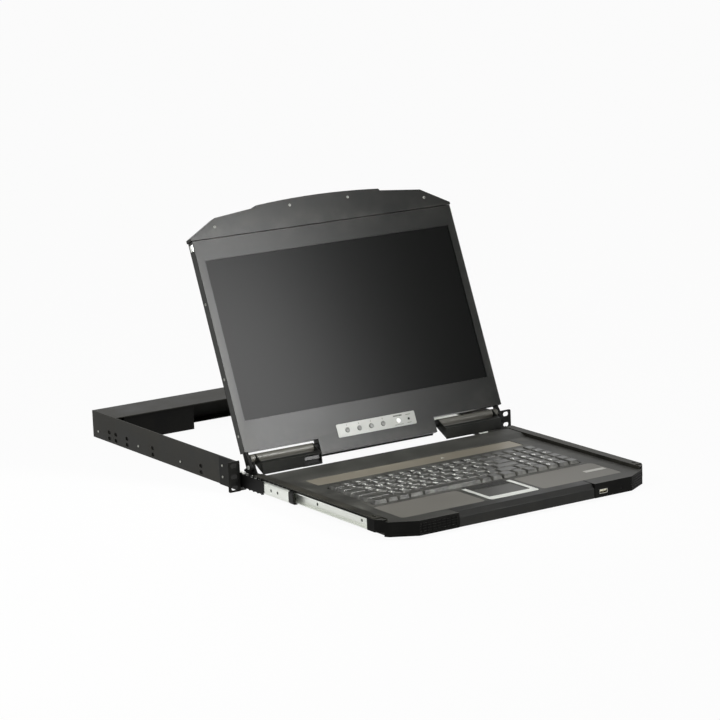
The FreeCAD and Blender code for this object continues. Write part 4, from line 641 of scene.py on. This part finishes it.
# Console connector on the back: flange, hollow D shell, dark insulator, contacts and hex posts.
port = {"x": -138.0, "z": 1.0, "back": 436.0, "flange": 1.2, "halfWide": 19.6, "halfTall": 6.25,
        "shellHalf": 12.3, "shellRise": 4.15, "slant": 1.66, "shellEnd": 441.8, "wall": 0.5, "floor": 0.4,
        "insulator": 3.2, "columns": 5, "rows": 3, "step": 3.4, "rowStep": 2.0, "rowShift": 1.02,
        "pin": 0.45, "pinLong": 1.2, "post": 2.05, "postAcross": 15.95}
shell, insulator, pins = bmesh.new(), bmesh.new(), bmesh.new()
low, high = port["back"] + port["flange"], port["shellEnd"]
plate = boxAt(shell, (-port["halfWide"], port["back"] + 0.05, -port["halfTall"]),
              (port["halfWide"], low, port["halfTall"]))
easeEdges(shell, edgesOf(plate), 0.25, 1)


def slantLowerEdge(verts):  # gives a box the D outline
    for vert in verts:
        if vert.co.z < 0:
            vert.co.x -= math.copysign(port["slant"] * mm, vert.co.x)


slantLowerEdge(boxAt(shell, (-port["shellHalf"], low, -port["shellRise"]),
                     (port["shellHalf"], high, port["shellRise"])))
mouth = [f for f in shell.faces if f.calc_center_median().y > (high - 0.01) * mm]
bmesh.ops.inset_region(shell, faces=mouth, thickness=port["wall"] * mm, depth=0)
sunk = bmesh.ops.extrude_face_region(shell, geom=mouth)["geom"]
bmesh.ops.translate(shell, verts=[v for v in sunk if isinstance(v, bmesh.types.BMVert)],
                    vec=(0, -(high - low - port["floor"]) * mm, 0))
bmesh.ops.delete(shell, geom=[f for f in mouth if f.is_valid], context="FACES_ONLY")
bmesh.ops.recalc_face_normals(shell, faces=shell.faces)
for side in (-1, 1):
    place = Matrix.Translation(Vector((side * port["postAcross"], low, 0)) * mm)
    turned(shell, [(0, high - low - 2), (1.2, high - low - 2), (1.2, high - low - 0.3), (1.5, high - low),
                   (port["post"], high - low - 0.4), (port["post"], 0)],
           place @ Matrix.Rotation(-math.pi / 2, 4, "X"), steps=6)
half, rise = port["shellHalf"] - 2 * port["wall"], port["shellRise"] - 2 * port["wall"]
slantLowerEdge(boxAt(insulator, (-half, low + port["floor"], -rise), (half, low + port["insulator"], rise)))
for row in range(port["rows"]):
    for column in range(port["columns"]):
        x = (column - (port["columns"] - 1) / 2) * port["step"] - (row % 2) * port["rowShift"]
        spot = Vector((x, low + port["insulator"] - 0.2, (row - 1) * port["rowStep"])) * mm
        turned(pins, [(port["pin"], 0), (port["pin"], port["pinLong"]), (0, port["pinLong"] + 0.2)],
               Matrix.Translation(spot) @ Matrix.Rotation(-math.pi / 2, 4, "X"), steps=8)
for part in (shell, insulator, pins):
    bmesh.ops.translate(part, verts=part.verts, vec=(port["x"] * mm, 0, port["z"] * mm))
finishPiece("consoleShell", shell, "nickelPlate", "chassis", ["console_port"])
finishPiece("consoleInsulator", insulator, "blackNylon", "chassis")
finishPiece("consolePins", pins, "goldFlash", "chassis")
print("console connector made")


# ---- stage, light and camera

# Camera and mirror rays meet a white floor and backdrop; other rays meet matt paper and a dim fill.
studio = {"floorBelow": 0.0005, "floorSize": 40, "floorGlow": 0.95, "fill": 0.3, "backdrop": 1.0}
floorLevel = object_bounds()[0][2] - studio["floorBelow"]
shell = bmesh.new()
bmesh.ops.create_grid(shell, x_segments=1, y_segments=1, size=studio["floorSize"],
                      matrix=Matrix.Translation((0, 0, floorLevel)))
mesh = bpy.data.meshes.new("studioFloor")
shell.to_mesh(mesh)
shell.free()
material, tree = startMaterial("studioFloor")
paper = addNode(tree, "BsdfDiffuse", {"Color": toLinear("f4f4f2")}).outputs[0]
glow = addNode(tree, "Emission", {"Color": (1, 1, 1, 1), "Strength": 1.0}).outputs[0]
path = addNode(tree, "LightPath")
seen = addNode(tree, "Math", {"operation": "MAXIMUM"}, {0: path.outputs["Is Camera Ray"],
                                                      1: path.outputs["Is Glossy Ray"]}).outputs[0]
share = addNode(tree, "Math", {"operation": "MULTIPLY", 1: studio["floorGlow"]}, {0: seen}).outputs[0]
surface = addNode(tree, "MixShader", {}, {0: share, 1: paper, 2: glow}).outputs[0]
addNode(tree, "OutputMaterial", {}, {"Surface": surface})
mesh.materials.append(material)
studioFloor = bpy.data.objects.new("studioFloor", mesh)
collection.objects.link(studioFloor)

world = bpy.data.worlds.new("studio")
bpy.context.scene.world = world
world.use_nodes = True
tree = world.node_tree
tree.nodes.clear()
path = addNode(tree, "LightPath")
seen = addNode(tree, "Math", {"operation": "MAXIMUM"}, {0: path.outputs["Is Camera Ray"],
                                                      1: path.outputs["Is Glossy Ray"]}).outputs[0]
seen = addNode(tree, "Math", {"operation": "MAXIMUM"},
               {0: seen, 1: path.outputs["Is Transmission Ray"]}).outputs[0]
white = (1, 1, 1, 1)
fill = addNode(tree, "Background", {"Color": white, "Strength": studio["fill"]}).outputs[0]
backdrop = addNode(tree, "Background", {"Color": white, "Strength": studio["backdrop"]}).outputs[0]
surface = addNode(tree, "MixShader", {}, {0: seen, 1: fill, 2: backdrop}).outputs[0]
addNode(tree, "OutputWorld", {}, {"Surface": surface})

# The key lamp's narrow beam grades the screen from left to right; the other two are wide and soft.
lamps = {
    "keySoftbox": {"place": (0.42, -0.97, 0.74), "aim": (-0.24, 0.05, 0.2), "wide": 0.3, "tall": 0.55,
                   "power": 1.5, "spread": 46},
    "overheadSoftbox": {"place": (-0.5, -0.6, 2.2), "aim": (0, -0.1, 0), "wide": 2.0, "tall": 2.0,
                        "power": 9.0, "spread": 180},
    "sideSoftbox": {"place": (-0.95, -0.5, 0.75), "aim": (-0.05, -0.05, 0), "wide": 0.6, "tall": 0.6,
                    "power": 4.5, "spread": 180},
}
for name, lamp in lamps.items():
    light = bpy.data.lights.new(name, "AREA")
    light.shape, light.size, light.size_y = "RECTANGLE", lamp["wide"], lamp["tall"]
    light.energy, light.spread = lamp["power"], math.radians(lamp["spread"])
    box = bpy.data.objects.new(name, light)
    box.location = lamp["place"]
    ahead = Vector(lamp["aim"]) - Vector(lamp["place"])
    box.rotation_euler = ahead.to_track_quat("-Z", "Y").to_euler()
    collection.objects.link(box)

view = {"lens": 148.03, "azimuth": -32.39, "elevation": 11.93, "distance": 4.22263, "roll": -2.37,
        "target": (-0.00597, 0.01622, 0.12982)}
azimuth, elevation, roll = (math.radians(view[name]) for name in ("azimuth", "elevation", "roll"))
backward = Vector((math.sin(azimuth) * math.cos(elevation), -math.cos(azimuth) * math.cos(elevation),
                   math.sin(elevation)))
level = Vector((0, 0, 1)).cross(backward).normalized()
rise = backward.cross(level)
right = math.cos(roll) * level + math.sin(roll) * rise
top = -math.sin(roll) * level + math.cos(roll) * rise
camera = bpy.data.objects.new("camera", bpy.data.cameras.new("camera"))
camera.data.lens, camera.data.sensor_width = view["lens"], 36
camera.data.clip_end = 100
camera.matrix_world = (Matrix.Translation(Vector(view["target"]) + backward * view["distance"])
                       @ Matrix((right, top, backward)).transposed().to_4x4())
collection.objects.link(camera)
bpy.context.scene.camera = camera
bpy.context.scene.view_settings.view_transform = "Standard"
print("stage, light and camera set")
